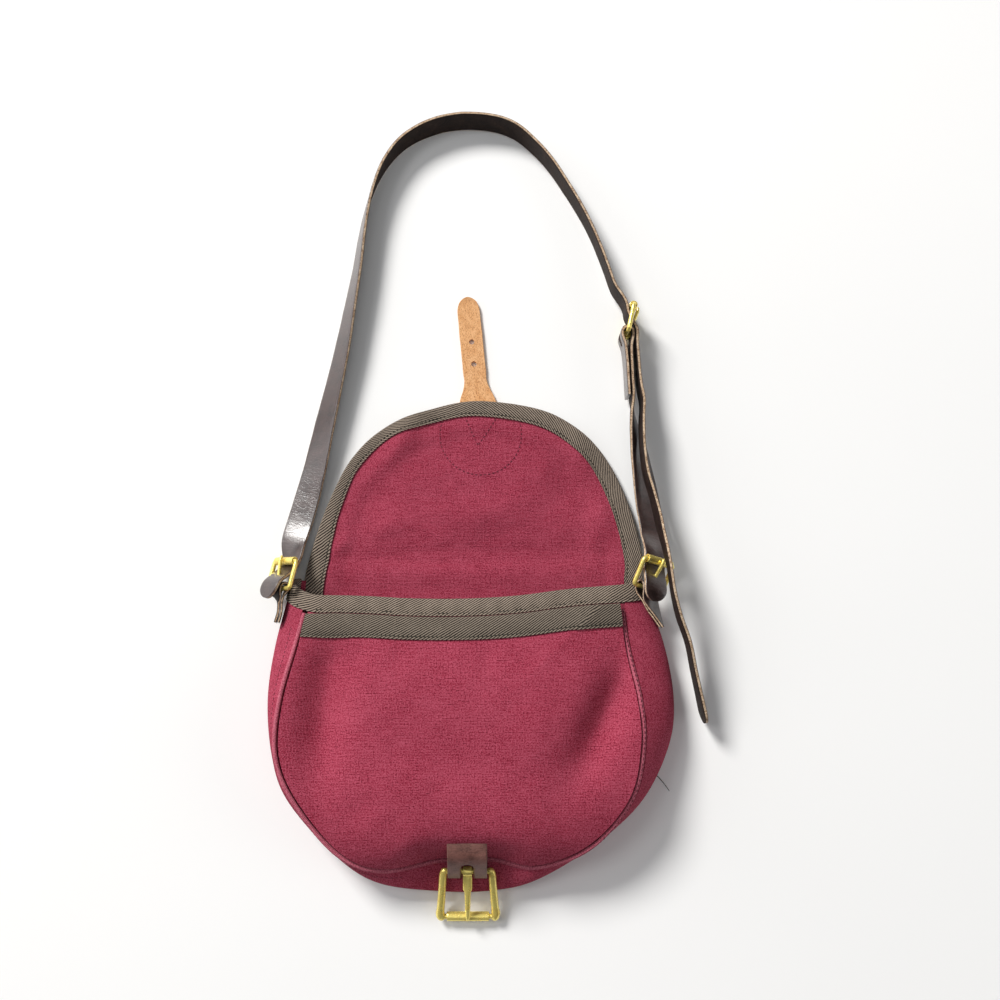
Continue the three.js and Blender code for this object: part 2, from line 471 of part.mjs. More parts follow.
const SIDE_RING = [
  [0, 0, BAR], [POST - 2.4, 0, BAR], [POST - 0.7, 0.6, BAR], [POST, 2.4, BAR], [POST, L - 2.4, BAR], [POST - 0.7, L - 0.6, BAR], [POST - 2.4, L, BAR], [0, L, BAR],
];
const SIDE_PRONG = [
  [1.9, 0.7, 1.7, 0.9], [5, 1.6, 1.4, 1.1], [11, 2.9, PRONG, PRONG], [L - 1, ROLLER_OUT + PRONG + 0.2, PRONG, PRONG], [L + 2.2, ROLLER_OUT + PRONG, 0.9, 0.9],
];
const SLOT = 2.9;
function slotTool(f, half, back) {
  const g = new THREE.BoxGeometry(2 * half, back + 8, 16).translate(0, (8 - back) / 2, 0).applyMatrix4(basis(f));
  const end = new THREE.CylinderGeometry(half, half, 16, 12).rotateX(Math.PI / 2).translate(0, -back, 0).applyMatrix4(basis(f));
  const fix = (m) => { const w = mergeVertices(m.deleteAttribute("normal").deleteAttribute("uv"), 1e-4), p = w.attributes.position; const k = w.index.array, faces = [];
    for (let i = 0; i < k.length; i += 3) faces.push([k[i], k[i + 1], k[i + 2]]);
    return solid(range(0, p.count - 1, p.count - 1).map((i) => V(p.getX(i), p.getY(i), p.getZ(i))), faces); };
  return join(fix(g), fix(end));
}
for (const [name, f] of [["left", LEFT], ["right", RIGHT], ["adjuster", ADJUSTER]]) {
  piece(`${name}_frame`, ringRod(f, SIDE_RING, 8), "brass");
  piece(`${name}_roller`, collar(f, ROLLER_IN, ROLLER_OUT, BUCKLE_INNER / 2 - 0.5, L, 12), "brass");
  piece(`${name}_prong`, join(collar(f, BAR + 0.3, BAR + 1.5, 1.9, 0, 12), prongRod(f, SIDE_PRONG, 0, 8)), "brass");
}

// ------------------------------------------------------------ straps and tabs
// Ribbon through rows of point and width direction; ends rounded by tip lengths.
const RIBBON_STEP = 9;
function ribbon(rows, width, tips, thickness = LEATHER) {
  const knots = chords(rows.map((r) => r.p)), total = knots[knots.length - 1];
  const point = smoothAlong(knots, rows.map((r) => r.p)), sideways = smoothAlong(knots, rows.map((r) => r.side));
  const stations = knots.slice(1).flatMap((k, i) => {
    const n = Math.ceil((k - knots[i]) / RIBBON_STEP);
    return range(knots[i], k, n).slice(0, n);
  });
  stations.push(total);
  for (const q of [0.06, 0.25, 0.55]) {
    if (tips[0]) stations.push(q * tips[0]);
    if (tips[1]) stations.push(total - q * tips[1]);
  }
  stations.sort((a, b) => a - b);
  const top = [], bottom = [];
  for (const s of stations) {
    const p = point(s), t = point(s + 0.2).sub(point(s - 0.2)).normalize(), w = sideways(s);
    w.addScaledVector(t, -w.dot(t)).normalize();
    const out = w.clone().cross(t);
    const ends = [[s, tips[0]], [total - s, tips[1]]].map(([d, tip]) => (tip && d < tip ? Math.sqrt(1 - (1 - d / tip) ** 2) : 1));
    const h = (width / 2) * Math.max(Math.min(...ends), 0.12);
    top.push([along(along(p, out, thickness / 2), w, h), along(along(p, out, thickness / 2), w, -h)]);
    bottom.push([along(along(p, out, -thickness / 2), w, h), along(along(p, out, -thickness / 2), w, -h)]);
  }
  return thickGrid(top, bottom);
}
const freeRows = (rows) => rows.map((r, i) => {
  const a = rows[Math.max(i - 1, 0)], b = rows[Math.min(i + 1, rows.length - 1)], t = V(b.x - a.x, b.y - a.y, 0).normalize();
  const c = Math.cos(rad(r.lean)), s = Math.sin(rad(r.lean));
  const z = r.lift + (STRAP_WIDTH / 2) * c + (LEATHER / 2) * Math.abs(s);
  return { p: V(r.x, r.y, z), side: V(t.y * s, -t.x * s, c) };
});
const fastened = (f, rows) => rows.map((r) => ({ p: f.at(0, r.along, r.off), side: f.a }));
const loopRows = (f, radius, from, to, n) => range(from, to, n).map((q) => ({ p: f.at(0, Math.cos(rad(q)) * radius, Math.sin(rad(q)) * radius), side: f.a }));
const inLayers = (f, rows, sign) => rows.map(([y, z]) => ({ p: f.at(0, y, sign * z), side: f.a }));
const towardTip = [...FASTENED].reverse();

const longRows = [...fastened(LEFT, FASTENED), ...freeRows(LONG_ROWS), ...fastened(ADJUSTER, towardTip.slice(0, -1)), ...freeRows(TAIL_ROWS)];
piece("long_strap", cut(ribbon(longRows, STRAP_WIDTH, [9, 9]), prongRod(LEFT, SIDE_PRONG, 0.6, 8), prongRod(ADJUSTER, SIDE_PRONG, 0.6, 8)), "leather");

const layerRows = (name) => FOLD_BACK.map((r) => ({ p: V(r[name], r.y, r.lift + STRAP_WIDTH / 2), side: V(0, 0, 1) }));
const shortRows = [
  ...layerRows("inner"), ...loopRows(ADJUSTER, loopRadius, -80, 80, 6), ...layerRows("outer").reverse(),
  ...freeRows(SHORT_ROWS), ...fastened(RIGHT, [...RIDING].reverse()),
];
piece("short_strap", cut(ribbon(shortRows, STRAP_WIDTH, [0, 9]), slotTool(ADJUSTER, SLOT, 6), prongRod(RIGHT, SIDE_PRONG, 0.6, 8)), "leather");

// Side tab: sewn on the gusset past its binding, folded round the buckle's bar; rows of distance from the gusset's end, lift off the gusset and outward direction.
const LEFT_TAB = table(["d", "lift", "outX", "outZ"], [27, 2.4, -0.97, 0.2], [19.5, 2.6, -0.97, 0.22], [12.5, 4.4, -0.97, 0.24]);
const RIGHT_TAB = table(["d", "lift", "outX", "outZ"], [31, 3.2, 0.98, 0.2], [21, 3.2, 0.9, 0.44], [12.5, 4.4, 0.76, 0.65]);
function sideTab(f, s, sign, rows, open) {
  const sewn = (r, layer) => {
    const q = onGusset(s, sign, 0.5)(r.d), out = V(r.outX, 0, r.outZ).normalize(), side = V(0, 1, 0).cross(out).normalize();
    return { p: along(q.p, out, r.lift + layer * (SIDE_LEATHER + LAYER_GAP)), side: side.z < 0 ? side.negate() : side };
  };
  return [...rows.map((r) => sewn(r, 0)), ...loopRows(f, loopRadius, open - 270, open - 90, 6), ...[...rows].reverse().map((r) => sewn(r, 1))];
}
piece("left_tab", cut(ribbon(sideTab(LEFT, 0, 1, LEFT_TAB, 198), SIDE_TAB_WIDTH, [0, 0], SIDE_LEATHER), slotTool(LEFT, SLOT, 2)), "leather");
piece("right_tab", cut(ribbon(sideTab(RIGHT, LAST, -1, RIGHT_TAB, 142), SIDE_TAB_WIDTH, [0, 0], SIDE_LEATHER), slotTool(RIGHT, SLOT, 2)), "leather");

// ------------------------------------------------------------ open closing buckle
const C_LOOP = C_BAR + GAP + LEATHER / 2, C_SLOT = 3.8;
const tabFoot = gusset(C_STATION, C_FOOT);
const barPoint = along(tabFoot.p, tabFoot.n, CANVAS / 2 + GAP + C_LOOP + LEATHER / 2 + TAB_RIDE).setX(C_X);
const fall = Math.asin((barPoint.z - C_ROLLER_Z) / C_REACH);
const CLOSURE = frameAt(barPoint, V(0, -Math.cos(fall), -Math.sin(fall)), V(0, -Math.sin(fall), Math.cos(fall)), true);
const seat = (y, layer) => {
  const q = pocketFace(C_X, y);
  return { p: along(q.p, q.n, CANVAS / 2 + GAP + LEATHER / 2 + TAB_RIDE + layer * (LEATHER + LAYER_GAP)), side: V(1, 0, 0) };
};
const overWelt = (layer) => {
  const { p, n } = weltAxis(C_STATION);
  return { p: along(p, n, WELT_RADIUS + GAP + LEATHER / 2 + TAB_RIDE + layer * (LEATHER + LAYER_GAP)).setX(C_X), side: V(1, 0, 0) };
};
const middle = overWelt(0).p.clone().lerp(overWelt(1).p, 0.5), toBag = middle.sub(barPoint).normalize();
const TAB = frameAt(barPoint, toBag.clone().negate(), V(0, -toBag.z, toBag.y), true);
piece("closure_tab", cut(ribbon([
  seat(-230, 0), seat(-235.5, 0), overWelt(0), ...loopRows(TAB, C_LOOP, -90, 90, 8), overWelt(1), seat(-235.5, 1), seat(-230, 1),
].map((r) => ({ p: r.p, side: V(1, 0, 0) })), TAB_WIDTH, [0, 0]), slotTool(TAB, C_SLOT, 2.2)), "leather");

const CL = C_REACH;
piece("closure_frame", ringRod(CLOSURE, [
  [0, 0, C_BAR], [13, 0, C_BAR], [15, -0.3, 2], [15.9, 2.4, 2.4], [16.5, 11, 2.5], [17.3, 22, 2.5], [17.9, CL - 6, 2.6], [18.2, CL - 2.4, 2.9], [17.5, CL + 0.2, 2.8], [15.8, CL, 1.85], [14.4, CL, C_BAR], [0, CL, C_BAR],
], 8), "brass");
piece("closure_roller", collar(CLOSURE, C_ROLLER_IN, C_ROLLER_OUT, 13.8, CL, 14), "brass");
piece("closure_prong", join(collar(CLOSURE, C_BAR + 0.3, C_BAR + 1.6, 3, 0, 12), prongRod(CLOSURE, [
  [1.9, 1.0, 3, 1.0], [6, 2.2, 3, 1.2], [11.5, 3.2, 2.9, 1.3], [13.5, 3.5, 2.1, 1.3], [22, 4.1, 1.8, 1.3], [CL - 4, C_ROLLER_OUT + 1.5, 1.4, 1.2], [CL + 0.6, C_ROLLER_OUT + 1.35, 1, 1],
], 0, 8)), "brass");

// ------------------------------------------------------------ assembly
const materials = {
  canvas: new THREE.MeshStandardMaterial({ name: "canvas", color: 0x8c2d46, roughness: 0.9 }),
  tape: new THREE.MeshStandardMaterial({ name: "tape", color: 0x5f5a4b, roughness: 0.9 }),
  leather: new THREE.MeshStandardMaterial({ name: "leather", color: 0x3a2118, roughness: 0.45 }),
  brass: new THREE.MeshStandardMaterial({ name: "brass", color: 0xc9a04a, roughness: 0.3, metalness: 1 }),
};
const bag = new THREE.Group();
bag.name = "canvas_shoulder_bag";
for (const [name, geometry, material] of meshes) {
  const bare = geometry.index ? geometry : mergeVertices(geometry.deleteAttribute("normal").deleteAttribute("uv"), 1e-4);
  for (const a of ["normal", "uv"]) bare.deleteAttribute(a);
  const mesh = new THREE.Mesh(bare.translate(-ORIGIN.x, -ORIGIN.y, 0), materials[material]);
  mesh.name = name;
  bag.add(mesh);
}
export default bag;
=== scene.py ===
import json
import math

import bpy
import numpy as np
from mathutils import Vector
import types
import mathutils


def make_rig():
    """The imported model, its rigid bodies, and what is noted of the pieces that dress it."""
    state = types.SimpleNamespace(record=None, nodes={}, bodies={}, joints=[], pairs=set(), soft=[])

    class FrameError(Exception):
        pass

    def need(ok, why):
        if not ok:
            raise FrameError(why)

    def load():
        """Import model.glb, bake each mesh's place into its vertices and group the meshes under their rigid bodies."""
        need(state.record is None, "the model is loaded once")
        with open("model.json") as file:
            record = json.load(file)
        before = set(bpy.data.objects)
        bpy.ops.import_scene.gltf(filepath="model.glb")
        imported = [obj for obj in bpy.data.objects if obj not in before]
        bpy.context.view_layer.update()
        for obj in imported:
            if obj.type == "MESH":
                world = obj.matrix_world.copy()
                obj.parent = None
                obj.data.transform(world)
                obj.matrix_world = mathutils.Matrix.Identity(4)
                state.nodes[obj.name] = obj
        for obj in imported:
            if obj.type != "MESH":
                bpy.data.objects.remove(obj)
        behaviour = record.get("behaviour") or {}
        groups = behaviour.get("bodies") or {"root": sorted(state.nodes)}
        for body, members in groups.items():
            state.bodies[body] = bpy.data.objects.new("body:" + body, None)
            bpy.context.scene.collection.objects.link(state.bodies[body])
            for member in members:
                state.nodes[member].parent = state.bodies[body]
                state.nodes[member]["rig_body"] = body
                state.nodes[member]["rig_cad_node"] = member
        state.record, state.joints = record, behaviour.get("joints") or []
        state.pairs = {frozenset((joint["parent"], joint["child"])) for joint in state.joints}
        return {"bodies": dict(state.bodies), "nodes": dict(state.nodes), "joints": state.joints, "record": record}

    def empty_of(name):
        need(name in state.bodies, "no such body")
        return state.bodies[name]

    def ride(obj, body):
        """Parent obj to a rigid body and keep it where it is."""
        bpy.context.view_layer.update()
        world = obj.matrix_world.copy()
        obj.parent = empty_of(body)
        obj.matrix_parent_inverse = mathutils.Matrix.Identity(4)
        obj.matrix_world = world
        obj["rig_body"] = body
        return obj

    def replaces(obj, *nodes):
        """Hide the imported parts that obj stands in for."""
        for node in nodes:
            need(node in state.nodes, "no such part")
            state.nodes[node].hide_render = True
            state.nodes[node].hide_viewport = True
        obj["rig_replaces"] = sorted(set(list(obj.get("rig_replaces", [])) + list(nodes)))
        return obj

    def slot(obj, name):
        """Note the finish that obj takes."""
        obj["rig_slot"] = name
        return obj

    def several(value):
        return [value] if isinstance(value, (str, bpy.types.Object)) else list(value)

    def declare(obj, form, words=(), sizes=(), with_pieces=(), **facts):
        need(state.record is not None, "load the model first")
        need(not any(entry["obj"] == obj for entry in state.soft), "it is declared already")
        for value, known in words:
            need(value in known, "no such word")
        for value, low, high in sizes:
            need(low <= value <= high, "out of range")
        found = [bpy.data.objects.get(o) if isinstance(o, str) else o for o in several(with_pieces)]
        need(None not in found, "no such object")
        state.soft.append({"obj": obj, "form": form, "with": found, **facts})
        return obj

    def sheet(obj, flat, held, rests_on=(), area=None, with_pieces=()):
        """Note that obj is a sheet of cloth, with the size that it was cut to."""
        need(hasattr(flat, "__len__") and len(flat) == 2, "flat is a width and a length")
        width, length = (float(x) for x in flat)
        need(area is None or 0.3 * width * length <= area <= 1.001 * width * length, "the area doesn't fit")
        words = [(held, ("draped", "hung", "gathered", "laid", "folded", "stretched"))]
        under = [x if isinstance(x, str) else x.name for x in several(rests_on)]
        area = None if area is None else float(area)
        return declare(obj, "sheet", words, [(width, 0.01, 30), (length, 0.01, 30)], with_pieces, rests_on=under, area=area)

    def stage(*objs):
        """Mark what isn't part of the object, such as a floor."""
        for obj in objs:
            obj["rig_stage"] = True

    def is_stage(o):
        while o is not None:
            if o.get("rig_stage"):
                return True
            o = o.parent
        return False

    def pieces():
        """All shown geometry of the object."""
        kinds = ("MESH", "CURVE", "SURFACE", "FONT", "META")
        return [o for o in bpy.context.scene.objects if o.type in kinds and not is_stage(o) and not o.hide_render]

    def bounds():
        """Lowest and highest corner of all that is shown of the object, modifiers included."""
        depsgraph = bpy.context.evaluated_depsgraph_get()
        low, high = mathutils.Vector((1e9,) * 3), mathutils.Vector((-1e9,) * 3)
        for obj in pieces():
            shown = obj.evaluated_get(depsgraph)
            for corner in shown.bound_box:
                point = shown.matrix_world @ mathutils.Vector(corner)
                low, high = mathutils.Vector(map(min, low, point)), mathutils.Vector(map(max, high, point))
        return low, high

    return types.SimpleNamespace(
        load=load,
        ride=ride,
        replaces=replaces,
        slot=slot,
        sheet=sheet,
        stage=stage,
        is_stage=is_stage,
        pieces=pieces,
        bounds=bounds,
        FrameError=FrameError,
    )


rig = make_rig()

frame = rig.load()
cad_low, cad_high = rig.bounds()

# ------------------------------------------------------------ sizes (mm), as in the construction
CANVAS, TAPE, LEATHER, SIDE_LEATHER, GAP, LAYER_GAP = 1.4, 1.0, 2.4, 1.8, 0.4, 0.3
SEAM_INSET, WELT_RADIUS, WELT_LIFT = 2.1, 1.6, 0.9
MOUTH_TAPE, POCKET_DROP, POCKET_TAPE, POCKET_LIFT, POCKET_ROOM, POCKET_GAPE = 11.5, 12.9, 15.0, 1.9, 4.5, 1.9
FLAP_TAPE, FLAP_EDGE_LIFT, PATCH_LIFT, TAPE_GAP = 12.5, 1.65, 3.05, 0.55
STRAP_WIDTH, SIDE_TAB_WIDTH, TAB_WIDTH, TAB_RIDE = 19.0, 16.4, 25.4, 1.2
CROWN, CROWN_CENTRE, CROWN_POWER = 42.0, np.array([-25.0, -165.0]), 2.2
BACK_CENTRE = np.array([-17.0, -95.0])
BAR, ROLLER_IN, ROLLER_OUT, PRONG, BUCKLE_INNER, BUCKLE_REACH = 1.6, 1.95, 2.8, 1.2, 23.0, 19.5
C_BAR, C_ROLLER_IN, C_ROLLER_OUT, C_REACH, C_ROLLER_Z, C_X, C_STATION, C_FOOT, C_SLOT = 1.6, 1.95, 3.0, 34.6, 5.0, -21.0, 7.5, 0.92, 3.8
PATCH_X, PATCH_Y, PATCH_R, PATCH_TILT = -13.6, 46.0, 32.5, 5.7
HOLES, HOLE_RADIUS = (54.0, 70.7), 2.0
ORIGIN = np.array([-12.3443, 4.0094, 0.0])


def table(columns, *rows):
    return {c: np.array([r[i] for r in rows], float) for i, c in enumerate(columns)}


PERIMETER = table(
    ["frontX", "frontY", "frontZ", "bulgeX", "bulgeY", "bulgeZ", "backX", "backY", "backZ"],
    [-129.5, -70.5, 19, -142, -60.5, 13, -135, -58, 4.6],
    [-135, -100, 27, -151.5, -103, 15, -138.5, -100, 2.9],
    [-143, -138, 35, -154, -139, 18, -140, -138, 2.9],
    [-144, -172, 38, -148.5, -174, 18.5, -136, -172, 2.9],
    [-132, -201, 37.5, -137, -203, 18.5, -124, -199, 2.9],
    [-103.5, -234.5, 32, -104, -238, 16.5, -98, -229, 2.9],
    [-76, -246, 24, -77, -255.5, 12.5, -66, -241.5, 2.9],
    [-38, -240.8, 16, -40, -261.3, 8.8, -34, -245.5, 2.9],
    [-5, -240.3, 15.8, -6, -261, 8.6, 2, -245.5, 2.9],
    [24, -244, 22.5, 22.5, -254, 12.5, 28, -241.5, 2.9],
    [58, -230, 32, 57.5, -233, 16, 59, -226.5, 2.9],
    [84, -201, 38, 92, -204, 18, 88, -199, 2.9],
    [92.5, -168, 38, 110.5, -170, 18, 103, -172, 2.9],
    [91.5, -138, 36, 115, -139, 18, 107.5, -138, 2.9],
    [84.5, -101, 27.5, 108.5, -100, 16, 105, -100, 2.9],
    [81.5, -63.5, 19, 93.5, -61, 13.5, 98.5, -58, 4.6],
)
LAST = len(PERIMETER["frontX"]) - 1
MOUTH = table(["y", "z"], [-70.5, 19], [-71, 18], [-72.8, 19], [-73, 20], [-71, 20], [-66.5, 19], [-63.5, 19])
FLAP = table(
    ["x", "y"],
    [98, -38], [90.5, -7.5], [76.2, 25], [57.3, 46.9], [28.8, 62.8], [-15.8, 69.2],
    [-50.3, 62.6], [-83.5, 48.8], [-103.5, 29.5], [-116, 6], [-126.5, -23],
)
FOLD = ["x", "y", "turn", "length", "width", "height"]
FRONT_FOLDS = table(
    FOLD,
    [-117, -138, 88, 56, 17, -17],          # sag inside the left seam
    [76, -140, 60, 46, 14, -18],            # sag inside the right seam
    [-25, -205, 0, 75, 26, 3.0],            # the bottom is the fullest
    [26, -150, 56, 40, 16, 1.6],
    [35, -210, 130, 14, 4, -1.2],
    [-91, -207, 40, 12, 8, -1.4],
    [-92.6, -109, 84, 13, 6, -1.0],
    [-66, -109, 92, 12, 6, -0.9],
    [-8.6, -111, 80, 13, 6, -0.9],
    [-30, -108, 95, 14, 7, 0.7],
)
FLAP_WAVES = table(
    FOLD,
    [-25, -41, 1, 84, 7.5, -2.2],           # crease across the flap above the mouth
    [-28, -63, 0, 95, 13, 4.2],
    [-14, -13, 2, 62, 13, 2.0],
    [-72, 40, 60, 27, 9.5, 3.8],            # soft folds beside the sewn base
    [56, 34, 100, 22, 10, 3.2],
    [69, -18, 84, 20, 8.5, 2.2],
    [-109, -31, 45, 11, 5, 1.4],
    [-82, -22, 20, 15, 6, 1.2],
    [-70, -2, 70, 24, 12, 1.0],
)
STRAP = ["x", "y", "lift", "lean"]
LONG_ROWS = [
    [-143.6, -30, 2.2, 70], [-140.6, -17, 0.6, 75], [-137.2, -4, 0.4, 74], [-131.2, 20.4, 0.3, 64], [-125.5, 49.2, 0.2, 55], [-119.5, 78.5, 0.2, 47],
    [-113.8, 108.2, 0.2, 40], [-109.1, 138.3, 0.2, 32], [-104.4, 168.9, 0.2, 25], [-100.7, 199.9, 0.2, 19], [-98.2, 216, 0.2, 16],
    [-94.2, 232, 0.2, 12], [-86.5, 251, 0.2, 6], [-72.5, 269.5, 0.2, 0], [-52.5, 281.5, 0.2, -4], [-22.5, 287.2, 0.2, -6],
    [9, 280.3, 0.2, -6], [28, 263.6, 0.5, -4], [50.3, 231, 1.2, -2], [66.4, 199, 2.4, 0], [77.4, 167.5, 4.2, 0], [82, 153, 5, 0],
]
TAIL_ROWS = [
    [97.5, 99, 5.2, 0], [98.7, 79.7, 5.8, 0], [100.3, 67, 7.5, 0], [99.2, 52, 10.6, 0], [99, 34, 13, 0], [101, 15.4, 12.4, 0],
    [105, -1, 13.6, 0], [108.4, -18.5, 15.6, -2], [110.8, -33, 20, 2], [112.8, -50.4, 26.6, 4], [115, -66, 25, 4],
    [119.4, -83.4, 20.4, 2], [125.4, -100.3, 16, 2], [129.8, -119.2, 10.4, 2], [133.7, -135.5, 6, 1], [136.7, -147.9, 2.4, 0], [138.2, -154, 1, 0],
]
FOLD_BACK = [[72, 90.8, 93.7, 3.3], [84, 90.3, 93.2, 4], [96, 89.8, 92.9, 4.8], [107, 88.8, 92.8, 5.4]]   # y, inner, outer, lift
SHORT_ROWS = [[94, 60, 2.6, 12], [97.2, 40, 1.4, 36], [101, 16.4, 1, 54], [104.1, -5, 1.6, 66], [106.3, -23, 3.4, 67]]
FASTENED = [[-9, 6.9], [-3, 7.2], [2.5, 6.1], [9, 1.4], [15, -2.9], [BUCKLE_REACH, -4.5]]   # along, off
RIDING = [[-6, 10], [-2.4, 9], [1.6, 7.6], [5.6, 5], [9.6, 1.4], [15, -2.9], [BUCKLE_REACH, -4.5]]
LEFT_TAB = [[27, 2.4, -0.97, 0.2], [19.5, 2.6, -0.97, 0.22], [12.5, 4.4, -0.97, 0.24]]      # from the end, lift, outward
RIGHT_TAB = [[31, 3.2, 0.98, 0.2], [21, 3.2, 0.9, 0.44], [12.5, 4.4, 0.76, 0.65]]

# ------------------------------------------------------------ small maths
def vec(*q):
    return np.array(q, float)


def unit(v):
    v = np.asarray(v, float)
    return v / np.maximum(np.linalg.norm(v, axis=-1, keepdims=True), 1e-12)


def step01(q):
    t = np.clip(q, 0, 1)
    return t * t * (3 - 2 * t)


def bell(q):
    return np.exp(-q * q)


def catmull(y, s):
    y, s = np.asarray(y, float), np.asarray(s, float)
    n = len(y) - 1
    i = np.clip(np.floor(s).astype(int), 0, n - 1)
    t = s - i
    b, c = y[i], y[i + 1]
    a = np.where(i > 0, y[np.maximum(i - 1, 0)], 2 * b - c)
    d = np.where(i < n - 1, y[np.minimum(i + 2, n)], 2 * c - b)
    return b + 0.5 * t * (c - a + t * (2 * a - 5 * b + 4 * c - d + t * (3 * (b - c) + d - a)))


def closed_catmull(points, k):
    n = len(points)
    k = np.asarray(k, float)
    i = np.floor(k).astype(int)
    t = (k - i)[:, None]
    a, b, c, d = (points[(i + o) % n] for o in (-1, 0, 1, 2))
    return b + 0.5 * t * (c - a + t * (2 * a - 5 * b + 4 * c - d + t * (3 * (b - c) + d - a)))


def lengths(p):
    return np.concatenate([[0], np.cumsum(np.linalg.norm(np.diff(p, axis=0), axis=1))])


class Along:
    """Smooth curve through points, by the way along their chords."""

    def __init__(self, knots, points):
        self.k, self.p = np.asarray(knots, float), np.asarray(points, float)
        h = np.diff(self.k)[:, None]
        slope = np.diff(self.p, axis=0) / h
        m = np.empty_like(self.p)
        m[0], m[-1] = slope[0], slope[-1]
        a, b = h[:-1], h[1:]
        m[1:-1] = slope[:-1] * (b / (a + b)) + slope[1:] * (a / (a + b))
        self.m = m

    def __call__(self, q):
        q = np.atleast_1d(np.asarray(q, float))
        i = np.clip(np.searchsorted(self.k, q, side="left") - 1, 0, len(self.k) - 2)
        h = (self.k[i + 1] - self.k[i])[:, None]
        t = ((q - self.k[i])[:, None]) / h
        t2, t3 = t * t, t * t * t
        return (self.p[i] * (2 * t3 - 3 * t2 + 1) + self.p[i + 1] * (3 * t2 - 2 * t3)
                + self.m[i] * (t3 - 2 * t2 + t) * h + self.m[i + 1] * (t3 - t2) * h)


def lattice(ix, iy, seed):
    h = (ix.astype(np.int64) * 374761393 + iy.astype(np.int64) * 668265263 + seed * 974634777) & 0xFFFFFFFF
    h = ((h ^ (h >> 13)) * 1274126177) & 0xFFFFFFFF
    return ((h ^ (h >> 16)) & 0xFFFF) / 32767.5 - 1


def noise(x, y, seed):
    """Smooth noise from -1 to 1 with a lattice of one unit."""
    x, y = np.asarray(x, float), np.asarray(y, float)
    ix, iy = np.floor(x), np.floor(y)
    fx, fy = x - ix, y - iy
    fx, fy = fx * fx * fx * (fx * (6 * fx - 15) + 10), fy * fy * fy * (fy * (6 * fy - 15) + 10)
    a, b = lattice(ix, iy, seed), lattice(ix + 1, iy, seed)
    c, d = lattice(ix, iy + 1, seed), lattice(ix + 1, iy + 1, seed)
    return (a + (b - a) * fx) * (1 - fy) + (c + (d - c) * fx) * fy


def folds(rows, x, y):
    total = 0
    for fx, fy, turn, length, width, height in zip(*(rows[c] for c in FOLD)):
        c, s = math.cos(math.radians(turn)), math.sin(math.radians(turn))
        dx, dy = x - fx, y - fy
        total = total + height * np.exp(-((dx * c + dy * s) / length) ** 2 - ((dy * c - dx * s) / width) ** 2)
    return total


# ------------------------------------------------------------ surfaces of the body
def perimeter(kind, s):
    return np.stack([catmull(PERIMETER[kind + axis], s) for axis in "XYZ"], -1)


def gusset_point(s, t):
    s, t = np.broadcast_arrays(np.asarray(s, float), np.asarray(t, float))
    t = t[..., None]
    return (perimeter("back", s) * (1 - t) * (1 - 2 * t) + perimeter("bulge", s) * 4 * t * (1 - t) + perimeter("front", s) * t * (2 * t - 1))


def gusset(s, t):
    e = 0.02
    s, t = np.broadcast_arrays(np.asarray(s, float), np.asarray(t, float))
    ds = (gusset_point(s + e, t) - gusset_point(s - e, t)) / (2 * e)
    dt = (gusset_point(s, t + e) - gusset_point(s, t - e)) / (2 * e)
    return gusset_point(s, t), unit(np.cross(ds, dt)), ds, dt


MOUTH_LEFT, MOUTH_RIGHT = PERIMETER["frontX"][0], PERIMETER["frontX"][LAST]


def mouth(u):
    u = np.asarray(u, float)
    k = u * (len(MOUTH["y"]) - 1)
    return np.stack([MOUTH_LEFT + (MOUTH_RIGHT - MOUTH_LEFT) * u, catmull(MOUTH["y"], k), catmull(MOUTH["z"], k)], -1)


def polar(points, centre):
    d = points[:, :2] - centre
    a = np.arctan2(d[:, 1], d[:, 0])
    order = np.argsort(a)
    a, r, z = a[order], np.hypot(d[:, 0], d[:, 1])[order], points[order, 2]

    def at(x, y):
        q = np.arctan2(y - centre[1], x - centre[0])
        return np.interp(q, a, r, period=2 * math.pi), np.interp(q, a, z, period=2 * math.pi)
    return at


front_edge = polar(np.concatenate([perimeter("front", np.linspace(0, LAST, 900)), mouth(np.linspace(0.99, 0.01, 300))]), CROWN_CENTRE)


def crown(x, y):
    r, z = front_edge(x, y)
    k = np.hypot(x - CROWN_CENTRE[0], y - CROWN_CENTRE[1]) / r
    return k, CROWN + (z - CROWN) * k ** CROWN_POWER


def mouth_line(x):
    return mouth(np.clip((x - MOUTH_LEFT) / (MOUTH_RIGHT - MOUTH_LEFT), 0, 1))[..., 1]


def below(x, y):
    return step01((mouth_line(x) - 12 - y) / 36)


def drawn(x, y, k):
    """Cloth drawn in at the closing tab and creased on both sides of it."""
    beside = 5.6 * (bell((x + 44) / 12) + bell((x - 3) / 13)) * bell((y + 237) / 8) * np.maximum(0, 1 - k ** 22)
    return 4.5 * bell((x + 20) / 17) * bell((y + 236) / 8) * np.maximum(0, 1 - k ** 9) + beside


def wall_z(x, y):
    k, z = crown(x, y)
    sag = np.minimum(folds(FRONT_FOLDS, x, y), 0) * np.maximum(0, 1 - k ** 7) * below(x, y)
    return z - POCKET_ROOM * np.maximum(0, 1 - k ** 4) + sag - drawn(x, y, k)


def crown_z(x, y):
    return crown(x, y)[1]


def pocket_z(x, y):
    k, z = crown(x, y)
    low = step01((-y - 172) / 40) * bell((x + 22) / 84)
    z = z + (CROWN - front_edge(x, y)[1]) * (k ** CROWN_POWER - k ** (CROWN_POWER + 6.6 * low))
    z = z - drawn(x, y, k)
    lip = POCKET_GAPE * bell((mouth_line(x) - POCKET_DROP - y) / 17)
    soft = np.maximum(0, 1 - k ** 7) * below(x, y)
    fine = 0.5 * noise(x / 31, y / 27, 3) + 0.22 * noise(x / 13, y / 12, 4)
    return z + POCKET_LIFT + lip + (folds(FRONT_FOLDS, x, y) + fine) * soft


